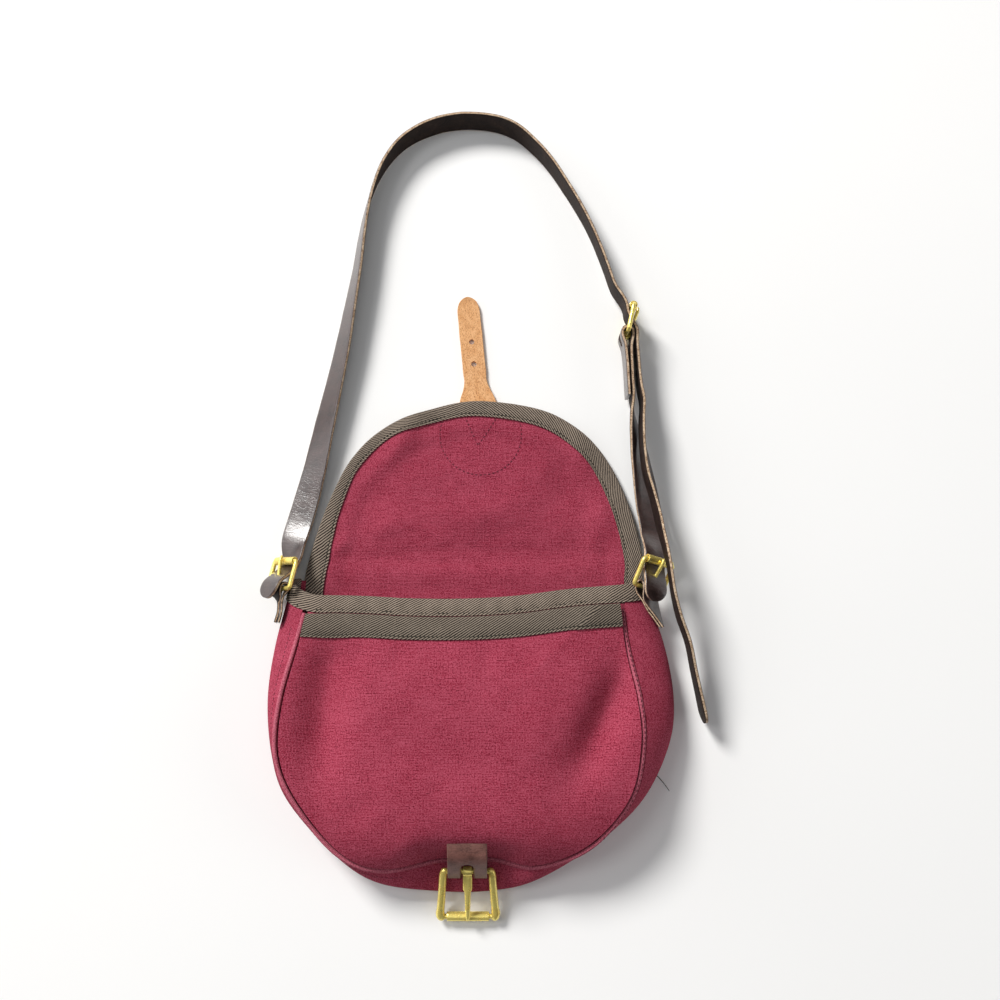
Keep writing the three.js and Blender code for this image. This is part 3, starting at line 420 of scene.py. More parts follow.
back_points = np.concatenate([
    np.stack([PERIMETER["backX"], PERIMETER["backY"], 0 * PERIMETER["backX"]], -1),
    np.stack([FLAP["x"], FLAP["y"], 0 * FLAP["x"]], -1),
])


def back_loop(k):
    return closed_catmull(back_points, k)


back_edge = polar(back_loop(np.linspace(0, len(back_points), 1500, endpoint=False)), BACK_CENTRE)


def back_z(x, y):
    d = back_edge(x, y)[0] - np.hypot(x - BACK_CENTRE[0], y - BACK_CENTRE[1])
    flap = step01((y + 84) / 24)
    rim = FLAP_EDGE_LIFT * step01((28 - d) / 13) * flap
    base = PATCH_LIFT * step01((76 - np.hypot(x - PATCH_X, y - PATCH_Y)) / 28)
    loose = flap * step01((y + 66) / 30)
    fine = (0.45 * noise(x / 24, y / 19, 11) + 0.2 * noise(x / 10, y / 9, 12)) * step01(d / 25)
    return CANVAS / 2 + 0.15 + rim + np.maximum(base + (folds(FLAP_WAVES, x, y) + fine) * loose + 1.2 * loose, 0)


def normal_of(height, x, y, e=0.5):
    nx = (height(x - e, y) - height(x + e, y)) / (2 * e)
    ny = (height(x, y - e) - height(x, y + e)) / (2 * e)
    return unit(np.stack([nx, ny, np.ones_like(nx)], -1))


def on(height, x, y):
    return np.stack([x, y, height(x, y)], -1), normal_of(height, x, y)


# ------------------------------------------------------------ meshes
def to_frame(p):
    return (np.asarray(p, float).reshape(-1, 3) - ORIGIN) / 1000


def mesh_object(name, points, faces, uv, materials, index=None, sharp=38):
    """points in mm, faces as lists of vertex numbers, uv one pair per face corner in mm."""
    mesh = bpy.data.meshes.new(name)
    mesh.from_pydata(to_frame(points).tolist(), [], [list(map(int, f)) for f in faces])
    if uv is not None:
        layer = mesh.uv_layers.new(name="cloth")
        layer.data.foreach_set("uv", np.asarray(uv, np.float32).ravel())
    for m in materials:
        mesh.materials.append(m)
    if index is not None:
        mesh.polygons.foreach_set("material_index", np.asarray(index, np.int32))
    mesh.update()
    mesh.shade_smooth()
    if sharp:
        mesh.set_sharp_from_angle(angle=math.radians(sharp))
    obj = bpy.data.objects.new(name, mesh)
    bpy.context.scene.collection.objects.link(obj)
    return obj


def grid_faces(n, m, base=0, wrap=False):
    i, j = np.meshgrid(np.arange(n - 1), np.arange(m if wrap else m - 1), indexing="ij")
    k = (j + 1) % m
    return base + np.stack([i * m + j, (i + 1) * m + j, (i + 1) * m + k, i * m + k], -1).reshape(-1, 4)


def closed(name, points, faces, corner_uv, materials, index=None, sharp=38):
    quads = [list(f) for f in faces]
    sample = np.asarray(points, float)
    tri = np.array([[f[0], f[i], f[i + 1]] for f in quads for i in range(1, len(f) - 1)])
    a, b, c = sample[tri[:, 0]], sample[tri[:, 1]], sample[tri[:, 2]]
    if np.sum(a * np.cross(b, c)) < 0:
        quads = [f[::-1] for f in quads]
        corner_uv = [u[::-1] for u in corner_uv]
    flat_uv = np.concatenate([np.asarray(u, float).reshape(-1, 2) for u in corner_uv])
    return mesh_object(name, points, quads, flat_uv, materials, index, sharp)


def thick_sheet(name, points, normals, thickness, uv, materials, wrap=False):
    """Closed sheet from a grid of points and normals, with uv per grid point."""
    n, m = points.shape[:2]
    top, bottom = points + normals * thickness / 2, points - normals * thickness / 2
    p = np.concatenate([top.reshape(-1, 3), bottom.reshape(-1, 3)])
    t = grid_faces(n, m)
    b = (t + n * m)[:, ::-1]
    rim = []
    idx = np.arange(n * m).reshape(n, m)
    for line, flip in ((idx[:, 0], False), (idx[:, -1], True), (idx[0], True), (idx[-1], False)):
        for i in range(len(line) - 1):
            q = [line[i], line[i] + n * m, line[i + 1] + n * m, line[i + 1]]
            rim.append(q[::-1] if flip else q)
    faces = [list(f) for f in t] + [list(f) for f in b] + rim
    w = uv.reshape(-1, 2)
    corner = [w[np.array(f) % (n * m)] for f in faces]
    return closed(name, p, faces, corner, materials)


def disc_sheet(name, outline, centre, fractions, height, thickness, materials):
    """Closed sheet over an outline, in rings from the edge to the middle."""
    o = np.asarray(outline, float)[:, :2]
    n, f = len(o), np.asarray(fractions, float)
    xy = o[None] + (centre - o)[None] * f[:, None, None]
    k = len(f)
    flat = np.concatenate([xy.reshape(-1, 2), centre[None]])
    p, nrm = on(height, flat[:, 0], flat[:, 1])
    count = k * n + 1
    points = np.concatenate([p + nrm * thickness / 2, p - nrm * thickness / 2])
    t = grid_faces(k, n, wrap=True)
    faces = [list(q) for q in t]
    last = (k - 1) * n
    faces += [[last + i, count - 1, last + (i + 1) % n] for i in range(n)]
    faces += [[v + count for v in q][::-1] for q in faces]
    faces += [[i, (i + 1) % n, count + (i + 1) % n, count + i] for i in range(n)]
    corner = [flat[np.array(q) % count] for q in faces]
    return closed(name, points, faces, corner, materials)


def tube(name, rings, along, around, materials, index=None, closed_path=False, sharp=38):
    """Closed body through rings of points; along and around give uv, index the material of each strip."""
    n, m = rings.shape[:2]
    p = rings.reshape(-1, 3)
    faces, corner, mat = [], [], []
    around = np.asarray(around, float)
    for i in range(n if closed_path else n - 1):
        i2 = (i + 1) % n
        u0, u1 = along[i], along[i + 1] if i + 1 < len(along) else along[i] + (along[1] - along[0])
        for j in range(m):
            j2 = (j + 1) % m
            faces.append([i * m + j, i2 * m + j, i2 * m + j2, i * m + j2])
            corner.append([(u0, around[j]), (u1, around[j]), (u1, around[j + 1]), (u0, around[j + 1])])
            mat.append(0 if index is None else index[j])
    if not closed_path:
        for i, rev in ((0, False), (n - 1, True)):
            ring = [i * m + j for j in range(m)]
            faces.append(ring[::-1] if rev else ring)
            c = [(along[i], around[j]) for j in range(m)]
            corner.append(c[::-1] if rev else c)
            mat.append(0 if index is None else index[-1])
    return closed(name, p, faces, corner, materials, mat, sharp)


def boolean(obj, cutter, operation="DIFFERENCE", folded=False):
    mod = obj.modifiers.new("cut", "BOOLEAN")
    mod.operation, mod.solver, mod.object, mod.use_self = operation, "EXACT", cutter, folded
    dg = bpy.context.evaluated_depsgraph_get()
    made = bpy.data.meshes.new_from_object(obj.evaluated_get(dg))
    obj.modifiers.remove(mod)
    old = obj.data
    obj.data = made
    bpy.data.meshes.remove(old)
    bpy.data.objects.remove(cutter)
    obj.data.set_sharp_from_angle(angle=math.radians(38))
    return obj


# ------------------------------------------------------------ materials
class Net:
    """Short way to write node trees as sums and products."""

    def __init__(self, name):
        self.material = bpy.data.materials.new(name)
        self.material.use_nodes = True
        self.tree = self.material.node_tree
        self.tree.nodes.clear()
        self.out = self.tree.nodes.new("ShaderNodeOutputMaterial")
        self.shader = self.tree.nodes.new("ShaderNodeBsdfPrincipled")
        self.link(self.shader.outputs[0], self.out.inputs["Surface"])
        uv = self.tree.nodes.new("ShaderNodeUVMap")
        uv.uv_map = "cloth"
        self.uv = uv.outputs[0]
        parts = self.tree.nodes.new("ShaderNodeSeparateXYZ")
        self.link(self.uv, parts.inputs[0])
        self.u, self.v = Term(self, parts.outputs[0]), Term(self, parts.outputs[1])
        self.place = self.tree.nodes.new("ShaderNodeTexCoord").outputs["Object"]

    def link(self, a, b):
        self.tree.links.new(a, b)

    def put(self, socket, value):
        if isinstance(value, Term):
            self.link(value.socket, socket)
        elif isinstance(value, bpy.types.NodeSocket):
            self.link(value, socket)
        else:
            socket.default_value = value

    def math(self, op, a, b=None, clamp=False):
        n = self.tree.nodes.new("ShaderNodeMath")
        n.operation, n.use_clamp = op, clamp
        self.put(n.inputs[0], a)
        if b is not None:
            self.put(n.inputs[1], b)
        return Term(self, n.outputs[0])

    def vector(self, x, y, z=0.0):
        n = self.tree.nodes.new("ShaderNodeCombineXYZ")
        for s, q in zip(n.inputs, (x, y, z)):
            self.put(s, q)
        return n.outputs[0]

    def noise(self, at, scale, detail=2.0, rough=0.5, distort=0.0):
        n = self.tree.nodes.new("ShaderNodeTexNoise")
        self.put(n.inputs["Vector"], at)
        for k, q in (("Scale", scale), ("Detail", detail), ("Roughness", rough), ("Distortion", distort)):
            n.inputs[k].default_value = q
        return Term(self, n.outputs[0])

    def cells(self, at, scale, feature="F1", random=1.0):
        n = self.tree.nodes.new("ShaderNodeTexVoronoi")
        n.feature = feature
        self.put(n.inputs["Vector"], at)
        n.inputs["Scale"].default_value = scale
        n.inputs["Randomness"].default_value = random
        return Term(self, n.outputs["Distance"])

    def ramp(self, value, low, high):
        n = self.tree.nodes.new("ShaderNodeMapRange")
        n.interpolation_type = "SMOOTHSTEP"
        self.put(n.inputs[0], value)
        n.inputs[1].default_value, n.inputs[2].default_value = low, high
        return Term(self, n.outputs[0])

    def mix(self, fac, a, b):
        n = self.tree.nodes.new("ShaderNodeMix")
        n.data_type = "RGBA"
        self.put(n.inputs[0], fac)
        self.put(n.inputs[6], a)
        self.put(n.inputs[7], b)
        return n.outputs[2]

    def bump(self, height, distance, strength=1.0):
        n = self.tree.nodes.new("ShaderNodeBump")
        n.inputs["Strength"].default_value = strength
        n.inputs["Distance"].default_value = distance
        self.put(n.inputs["Height"], height)
        self.link(n.outputs[0], self.shader.inputs["Normal"])

    def set(self, **values):
        for key, q in values.items():
            self.put(self.shader.inputs[key.replace("_", " ")], q)


class Term:
    def __init__(self, net, socket):
        self.net, self.socket = net, socket

    def __add__(self, o): return self.net.math("ADD", self, o)
    def __radd__(self, o): return self.net.math("ADD", o, self)
    def __sub__(self, o): return self.net.math("SUBTRACT", self, o)
    def __rsub__(self, o): return self.net.math("SUBTRACT", o, self)
    def __mul__(self, o): return self.net.math("MULTIPLY", self, o)
    def __rmul__(self, o): return self.net.math("MULTIPLY", o, self)
    def __truediv__(self, o): return self.net.math("DIVIDE", self, o)
    def sin(self): return self.net.math("SINE", self)
    def abs(self): return self.net.math("ABSOLUTE", self)
    def sign(self): return self.net.math("SIGN", self)
    def max(self, o): return self.net.math("MAXIMUM", self, o)
    def above(self, o): return self.net.math("GREATER_THAN", self, o)
    def clamp(self): return self.net.math("ADD", self, 0.0, True)
    def power(self, o): return self.net.math("POWER", self, o)


def srgb(r, g, b):
    def lin(q):
        q /= 255
        return q / 12.92 if q <= 0.04045 else ((q + 0.055) / 1.055) ** 2.4
    return (lin(r), lin(g), lin(b), 1.0)


def canvas_material(name, pale, mid, deep, pitch=0.86):
    n = Net(name)
    drift = n.noise(n.uv, 0.09, 2.0)
    a = (n.u + drift * 1.3) / pitch * math.pi
    b = (n.v + n.noise(n.uv, 0.07, 2.0) * 1.3) / (pitch * 1.12) * math.pi
    sa, sb = a.sin(), b.sin()
    warp = sa.abs() * (0.5 + 0.5 * (sb * sa.sign()))
    weft = sb.abs() * (0.5 - 0.5 * (sa * sb.sign()))
    height = warp.max(weft)
    slub_u = n.noise(n.vector(n.u * 1.25, n.v * 0.11), 1.0, 1.0)
    slub_v = n.noise(n.vector(n.u * 0.09, n.v * 1.25), 1.0, 1.0)
    speck = n.noise(n.uv, 1.15, 2.0, 0.6)
    mottle = n.noise(n.uv, 0.045, 3.0, 0.55)
    # thread tops paler and the hollows between threads darker: painted shade in the weave
    tone = (slub_u * 0.3 + slub_v * 0.42 + speck * 1.9 + mottle * 0.28 + height * 0.55) - 1.29
    shade = n.ramp(tone, -0.22, 0.8)
    n.set(Base_Color=n.mix(n.ramp(shade, 0.5, 1.0), n.mix(n.ramp(shade, 0.0, 0.55), deep, mid), pale))
    n.set(Roughness=0.82 + 0.14 * speck, Specular_IOR_Level=0.12, Sheen_Weight=0.03, Sheen_Roughness=0.5)
    n.shader.inputs["Sheen Tint"].default_value = srgb(235, 120, 140)
    n.bump(height * 0.8 + speck * 0.5 + slub_v * 0.3, 0.00034, 0.85)
    return n.material


def tape_material(name, pale, mid, deep, pitch=1.7, slope=0.62):
    n = Net(name)
    drift = n.noise(n.uv, 0.16, 2.0)
    line = (n.u * slope + n.v + drift * 1.1) / pitch * math.pi
    rib = line.sin().abs()
    pick = ((n.v * slope - n.u + drift) / 0.62 * math.pi).sin().abs()
    speck = n.noise(n.uv, 1.4, 2.0, 0.6)
    wear = n.noise(n.uv, 0.08, 3.0, 0.6)
    tone = rib * 1.5 + pick * 0.2 + speck * 0.5 + wear * 0.5 - 1.12
    shade = n.ramp(tone, -0.1, 0.85)
    n.set(Base_Color=n.mix(n.ramp(shade, 0.5, 1.0), n.mix(n.ramp(shade, 0.0, 0.5), deep, mid), pale))
    n.set(Roughness=0.85, Specular_IOR_Level=0.15, Sheen_Weight=0.03, Sheen_Roughness=0.5)
    n.bump(rib + pick * 0.3 + speck * 0.4, 0.00042, 0.9)
    return n.material


def leather_material(name, pale, mid, deep, rough=0.36, grain=0.00011, gloss=0.5, coat=0.0):
    n = Net(name)
    pores = n.cells(n.uv, 1.15)
    fine = n.noise(n.uv, 2.6, 3.0, 0.6)
    crease = n.noise(n.vector(n.u * 0.42, n.v * 0.07), 1.0, 3.0, 0.55)
    fold = n.ramp((crease - 0.5).abs(), 0.0, 0.045)
    cloud = n.noise(n.uv, 0.11, 3.0, 0.55)
    tone = cloud * 0.9 + fine * 0.35 + pores * 0.25 + fold * 0.12 - 0.42
    shade = n.ramp(tone, 0.0, 1.0)
    n.set(Base_Color=n.mix(n.ramp(shade, 0.5, 1.0), n.mix(n.ramp(shade, 0.0, 0.5), deep, mid), pale))
    n.set(Roughness=rough - 0.06 + 0.16 * cloud, Specular_IOR_Level=gloss, Coat_Weight=coat, Coat_Roughness=0.22)
    n.bump(pores * 0.6 + fine * 0.5 + fold * 0.7, grain, 0.8)
    return n.material


def raw_material(name, pale, mid, deep, fibre=1.0, depth=0.0003):
    n = Net(name)
    fuzz = n.noise(n.uv, 2.2 * fibre, 3.0, 0.7)
    strand = n.noise(n.vector(n.u * 0.9, n.v * 2.6), fibre, 3.0, 0.65, 0.4)
    cloud = n.noise(n.uv, 0.16, 3.0, 0.6)
    pit = n.ramp(n.noise(n.uv, 1.0 * fibre, 2.0, 0.7), 0.36, 0.5)
    tone = fuzz * 0.55 + strand * 0.55 + cloud * 0.6 + pit * 0.3 - 0.62
    shade = n.ramp(tone, 0.0, 0.85)
    n.set(Base_Color=n.mix(n.ramp(shade, 0.45, 1.0), n.mix(n.ramp(shade, 0.0, 0.5), deep, mid), pale))
    n.set(Roughness=0.9, Specular_IOR_Level=0.15, Sheen_Weight=0.15, Sheen_Roughness=0.6)
    n.bump(fuzz * 0.6 + strand * 0.6 + pit * 0.4, depth, 0.9)
    return n.material


def brass_material(name):
    n = Net(name)
    at = n.place
    cloud = n.noise(at, 160, 3.0, 0.6)
    spot = n.noise(at, 620, 3.0, 0.65)
    scratch = n.noise(n.vector(n.u * 0.5, n.v * 3.2), 1.0, 3.0, 0.6)
    tarnish = n.ramp(cloud * 0.7 + spot * 0.5, 0.58, 0.86)
    cast = n.noise(at, 900, 2.0, 0.5)
    n.set(Base_Color=n.mix(tarnish, srgb(255, 234, 132), srgb(232, 198, 96)))
    n.set(Metallic=0.58, Roughness=0.17 + 0.14 * cloud + 0.12 * tarnish)
    n.bump(spot * 0.6 + scratch * 0.3 + cloud * 0.5 + cast * 1.4, 0.00012, 0.7)
    return n.material


def thread_material(name, pale, deep):
    n = Net(name)
    ply = ((n.u * 2.2 + n.v * 3.0) * math.pi).sin().abs()
    speck = n.noise(n.uv, 3.0, 2.0)
    n.set(Base_Color=n.mix(n.ramp(ply * 0.6 + speck * 0.6, 0.3, 0.95), deep, pale))
    n.set(Roughness=0.75, Specular_IOR_Level=0.25)
    n.bump(ply, 0.00012, 0.7)
    return n.material


CLOTH = canvas_material("burgundy_canvas", srgb(179, 80, 101), srgb(139, 36, 57), srgb(80, 14, 29))
# paler canvas for the seam welt: a painted highlight along the ridge
WELT_HIGHLIGHT_CLOTH = canvas_material("welt_painted_highlight_canvas", srgb(200, 114, 130), srgb(164, 72, 91), srgb(106, 38, 54))
BIND = tape_material("olive_tape", srgb(158, 143, 129), srgb(88, 78, 69), srgb(24, 20, 17))
BIND_DARK = tape_material("olive_pocket_tape", srgb(138, 126, 113), srgb(70, 62, 55), srgb(18, 15, 13))
HIDE = leather_material("dark_leather", srgb(92, 70, 66), srgb(62, 44, 41), srgb(38, 26, 24), 0.3, 0.00008, 0.9, 0.35)
TAB_HIDE = leather_material("tab_leather", srgb(148, 104, 95), srgb(116, 77, 69), srgb(80, 50, 44), 0.38, 0.0001, 0.45)
# darker copy of the dark leather for the inner faces: painted shade
INSIDE_HIDE_SHADE = leather_material("leather_inside_painted_shade", srgb(78, 60, 50), srgb(46, 34, 29), srgb(26, 18, 16), 0.66, 0.00012, 0.2)
EDGE = raw_material("cut_edge", srgb(226, 204, 176), srgb(170, 140, 112), srgb(84, 60, 44), 0.8, 0.00025)
FLESH = raw_material("flesh_side", srgb(242, 192, 142), srgb(220, 162, 108), srgb(170, 108, 64), 0.75, 0.00035)
BRASS = brass_material("brass")
RED_THREAD = thread_material("maroon_thread", srgb(150, 62, 82), srgb(70, 16, 30))
SEAM_THREAD = thread_material("seam_thread", srgb(104, 34, 50), srgb(46, 10, 20))
DARK_THREAD = thread_material("dark_thread", srgb(74, 70, 60), srgb(22, 20, 17))

made = {}


def finish_piece(obj, body, nodes=(), slot=None):
    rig.ride(obj, body)
    if nodes:
        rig.replaces(obj, *nodes)
    if slot:
        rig.slot(obj, slot)
    made[obj.name] = obj
    return obj


# ------------------------------------------------------------ camera
camera = bpy.data.cameras.new("camera")
camera.lens, camera.sensor_width, camera.sensor_fit = 36.0, 36.0, "HORIZONTAL"
view = bpy.data.objects.new("camera", camera)
bpy.context.scene.collection.objects.link(view)
TILT, AWAY = math.radians(10), 710.0
view.location = to_frame([0, -AWAY * math.sin(TILT), AWAY * math.cos(TILT)])[0].tolist()
view.rotation_euler = (TILT, 0, 0)
bpy.context.scene.camera = view

# ------------------------------------------------------------ body
outline = back_loop(np.linspace(0, len(back_points), 460, endpoint=False))
rings = np.concatenate([[0, 0.006, 0.014], np.linspace(0.026, 0.97, 62)])
back = disc_sheet("back_and_flap", outline, BACK_CENTRE, rings, back_z, CANVAS, [CLOTH])
finish_piece(back, "bag", ["back_panel"], "canvas")

S = np.linspace(0, LAST, 300)
end = 1 - SEAM_INSET / np.linalg.norm(gusset(S, np.ones_like(S))[3], axis=-1)
T = np.linspace(0, 1, 30)[None] * end[:, None]
gp, gn, _, _ = gusset(S[:, None] + 0 * T, T)
gu = lengths(gusset_point(S, 0 * S + 0.5))
gv = np.concatenate([np.zeros((len(S), 1)), np.cumsum(np.linalg.norm(np.diff(gp, axis=1), axis=2), axis=1)], 1)
side = thick_sheet("gusset_strip", gp, gn, CANVAS, np.stack([gu[:, None] + 0 * gv, gv], -1), [CLOTH])
finish_piece(side, "bag", ["gusset"], "canvas")


def inset(p):
    d = CROWN_CENTRE - p[..., :2]
    return p[..., :2] + d * SEAM_INSET / np.linalg.norm(d, axis=-1, keepdims=True)


def seam_outline(a, b, n):
    return inset(perimeter("front", np.linspace(a, b, n)))


wall_outline = np.concatenate([seam_outline(0.12, LAST - 0.12, 230), mouth(np.linspace(0.985, 0.015, 80))[:, :2]])
wall = disc_sheet("front_wall", wall_outline, CROWN_CENTRE, np.concatenate([[0, 0.02, 0.045], np.linspace(0.08, 0.96, 30)]), wall_z, CANVAS, [CLOTH])
finish_piece(wall, "bag", ["front_panel"], "canvas")

POCKET_FROM, POCKET_TO = 0.47, LAST - 0.38
pocket_left = perimeter("front", POCKET_FROM)[0] + SEAM_INSET + 0.4
pocket_right = perimeter("front", POCKET_TO)[0] - SEAM_INSET - 0.4


def pocket_top(u):
    x = pocket_left + (pocket_right - pocket_left) * np.asarray(u, float)
    return np.stack([x, mouth_line(x) - POCKET_DROP], -1)


pocket_outline = np.concatenate([seam_outline(POCKET_FROM + 0.05, POCKET_TO - 0.05, 320), pocket_top(np.linspace(1, 0, 110))])
pocket = disc_sheet("front_pocket_panel", pocket_outline, CROWN_CENTRE, np.concatenate([[0, 0.008, 0.018], np.linspace(0.03, 0.97, 62)]), pocket_z, CANVAS, [CLOTH])
finish_piece(pocket, "bag", ["front_pocket"], "canvas")


def welt_axis(s):
    f = perimeter("front", s)
    i = inset(f)
    n = unit(normal_of(crown_z, i[..., 0], i[..., 1]) + gusset(s, np.ones_like(s))[1])
    return f + n * WELT_LIFT, n


def sweep(p, u, v, ru, rv, sides):
    q = np.linspace(0, 2 * math.pi, sides, endpoint=False)
    ru, rv = (np.broadcast_to(np.asarray(r, float), (len(p),)) for r in (ru, rv))
    return p[:, None] + u[:, None] * (np.cos(q)[None, :, None] * ru[:, None, None]) + v[:, None] * (np.sin(q)[None, :, None] * rv[:, None, None])


ws = np.linspace(0.4, LAST - 0.42, 420)
wp, wn = welt_axis(ws)
wt = unit(np.gradient(wp, axis=0))
wu = unit(wn - wt * np.sum(wn * wt, -1, keepdims=True))
low = step01((ws - 9.6) / 1.6)                      # the ridge sinks on the right
wl = lengths(wp)
knot = 0.06 * np.sin(wl / 3.2 * 2 * math.pi)
welt_mid, welt_high = wp - wu * (1.15 * low)[:, None], WELT_RADIUS - 0.35 * low + knot
# the welt takes the paler canvas, a painted highlight of the ridge
welt = tube("seam_welt", sweep(welt_mid, wu, np.cross(wt, wu), welt_high, WELT_RADIUS - 0.1 + knot, 12),
            wl, np.linspace(0, 2 * math.pi * WELT_RADIUS, 13), [WELT_HIGHLIGHT_CLOTH], sharp=0)
finish_piece(welt, "bag", ["front_welt"], "canvas")

# ------------------------------------------------------------ folded tapes
def binding(name, edge, width, gap, corners=(), under=None, press=0.8, stitch=2.0, pucker=0.0, cloth=None):
    """edge(d) gives points and normals of the sheet at distance d inside its edge, for all stations at once."""
    width = np.asarray(width, float)
    n = len(edge(0.0)[0])
    w_top = np.broadcast_to(width, (n,))
    w_low = w_top if under is None else np.broadcast_to(np.asarray(under, float), (n,))
    steps = np.array([0, 0.12, 0.26, 0.4, 0.54, 0.66, 0.76, 0.84, 0.9, 0.95, 1.0])
    way = lengths(edge(np.zeros(n))[0])
    ripple = pucker * (0.5 + 0.5 * np.sin(way / 13.5 * 2 * math.pi + 2.4 * noise(way / 37, 0 * way, 81)))

    def lift(d, w):
        pressed = press * bell((d - (w - stitch)) / 1.7) + 0.55 * press * step01((d - (w - stitch)) / 1.2)
        return CANVAS / 2 + gap * (1 - np.clip(pressed, 0, 0.93)) + TAPE / 2 + ripple * step01(d / 3) * step01((w - d) / 2.5)

    def layer(sign, w, thick):
        rows = []
        for q in steps:
            p, nn = edge(q * w)
            rows.append(p + sign * nn * (lift(q * w, w) + thick)[:, None])
        return rows
    e, en = edge(np.zeros(n))
    inside = edge(np.ones(n))[0]
    up = unit(e - inside)
    cap = np.radians([-72, -48, -24, 0, 24, 48, 72])

    def arc(thick):
        r = CANVAS / 2 + gap + TAPE / 2 + thick
        reach = GAP + TAPE / 2 + thick
        return [e + up * (math.cos(q) * reach) + en * (math.sin(q) * r) for q in cap]
    outer = layer(-1, w_low, TAPE / 2)[::-1] + arc(TAPE / 2) + layer(1, w_top, TAPE / 2)
    inner = (layer(-1, w_low, -TAPE / 2)[::-1] + arc(-TAPE / 2) + layer(1, w_top, -TAPE / 2))[::-1]
    ring = np.stack(outer + inner, 1)
    for c in corners:                               # round the turns of the tape
        for _ in range(7):
            k = np.arange(max(c - 7, 1), min(c + 8, n - 1))
            ring[k] = 0.25 * ring[k - 1] + 0.5 * ring[k] + 0.25 * ring[k + 1]
    mid = ring[:, len(outer) // 2]
    along = lengths(mid)
    half = np.concatenate([[0], np.cumsum(np.linalg.norm(np.diff(np.stack(outer, 1), axis=1), axis=2).mean(0))])
    around = np.concatenate([half, half[::-1] + 0.0, [0]])
    obj = tube(name, ring, along, around, [cloth or BIND])
    return obj, (half[-1] / 1000, along[-1] / 1000)


def stack_edges(*parts):
    def edge(d):
        d = np.asarray(d, float)
        got, at = [], 0
        for size, f in parts:
            got.append(f(np.broadcast_to(d, (sum(q[0] for q in parts),))[at:at + size]))
            at += size
        return np.concatenate([g[0] for g in got]), np.concatenate([g[1] for g in got])
    return edge


def on_gusset(s, sign, t):
    def f(d):
        ds = np.linalg.norm(gusset(np.full_like(t, s), t)[2], axis=-1)
        p, n, _, _ = gusset(s + sign * d / ds, t)
        return p, n
    return f


FRONT_SLOPE = math.cos(math.atan(0.35))


def on_front(height, xy, lean=0.0):
    return lambda d: on(height, xy[:, 0] + lean * d, xy[:, 1] - d * FRONT_SLOPE)


GT = np.linspace(0.12, 0.9, 26)
MU = np.linspace(0.012, 0.988, 170)
mouth_edge = stack_edges((26, on_gusset(0.0, 1, GT)), (170, on_front(wall_z, mouth(MU)[:, :2])), (26, on_gusset(float(LAST), -1, GT[::-1])))
mouth_tape, mouth_cut = binding("mouth_tape", mouth_edge, MOUTH_TAPE, TAPE_GAP, (25, 196), pucker=0.5)
finish_piece(mouth_tape, "bag", ["mouth_binding"], "tape")

PU = np.linspace(0.0, 1.0, 180)
pocket_edge = on_front(pocket_z, pocket_top(PU), 0.1 * PU ** 6 - 0.2 * (1 - PU) ** 6)
pocket_tape, pocket_cut = binding("pocket_tape", lambda d: pocket_edge(np.broadcast_to(d, (180,))), POCKET_TAPE, TAPE_GAP + 0.25, cloth=BIND_DARK)
finish_piece(pocket_tape, "bag", ["pocket_binding"], "tape")

FK = np.linspace(LAST - 0.05, len(back_points) + 0.2, 300)
flap_xy = back_loop(FK)[:, :2]
flap_in = unit(BACK_CENTRE - flap_xy)
FLAP_SHOWN = table(["at", "width"], [0, 12.5], [0.22, 12.4], [0.34, 11.5], [0.5, 9.8], [0.62, 8.0], [0.76, 7.4], [0.86, 9.6], [0.94, 12.6], [1, 13])
flap_width = np.interp((FK - FK[0]) / (FK[-1] - FK[0]), FLAP_SHOWN["at"], FLAP_SHOWN["width"])


def flap_edge(d):
    q = flap_xy + flap_in * np.broadcast_to(d, (300,))[:, None]
    return on(back_z, q[:, 0], q[:, 1])


flap_tape, flap_cut = binding("flap_tape", flap_edge, flap_width, TAPE_GAP, under=np.full(300, FLAP_TAPE))
finish_piece(flap_tape, "bag", ["flap_binding"], "tape")

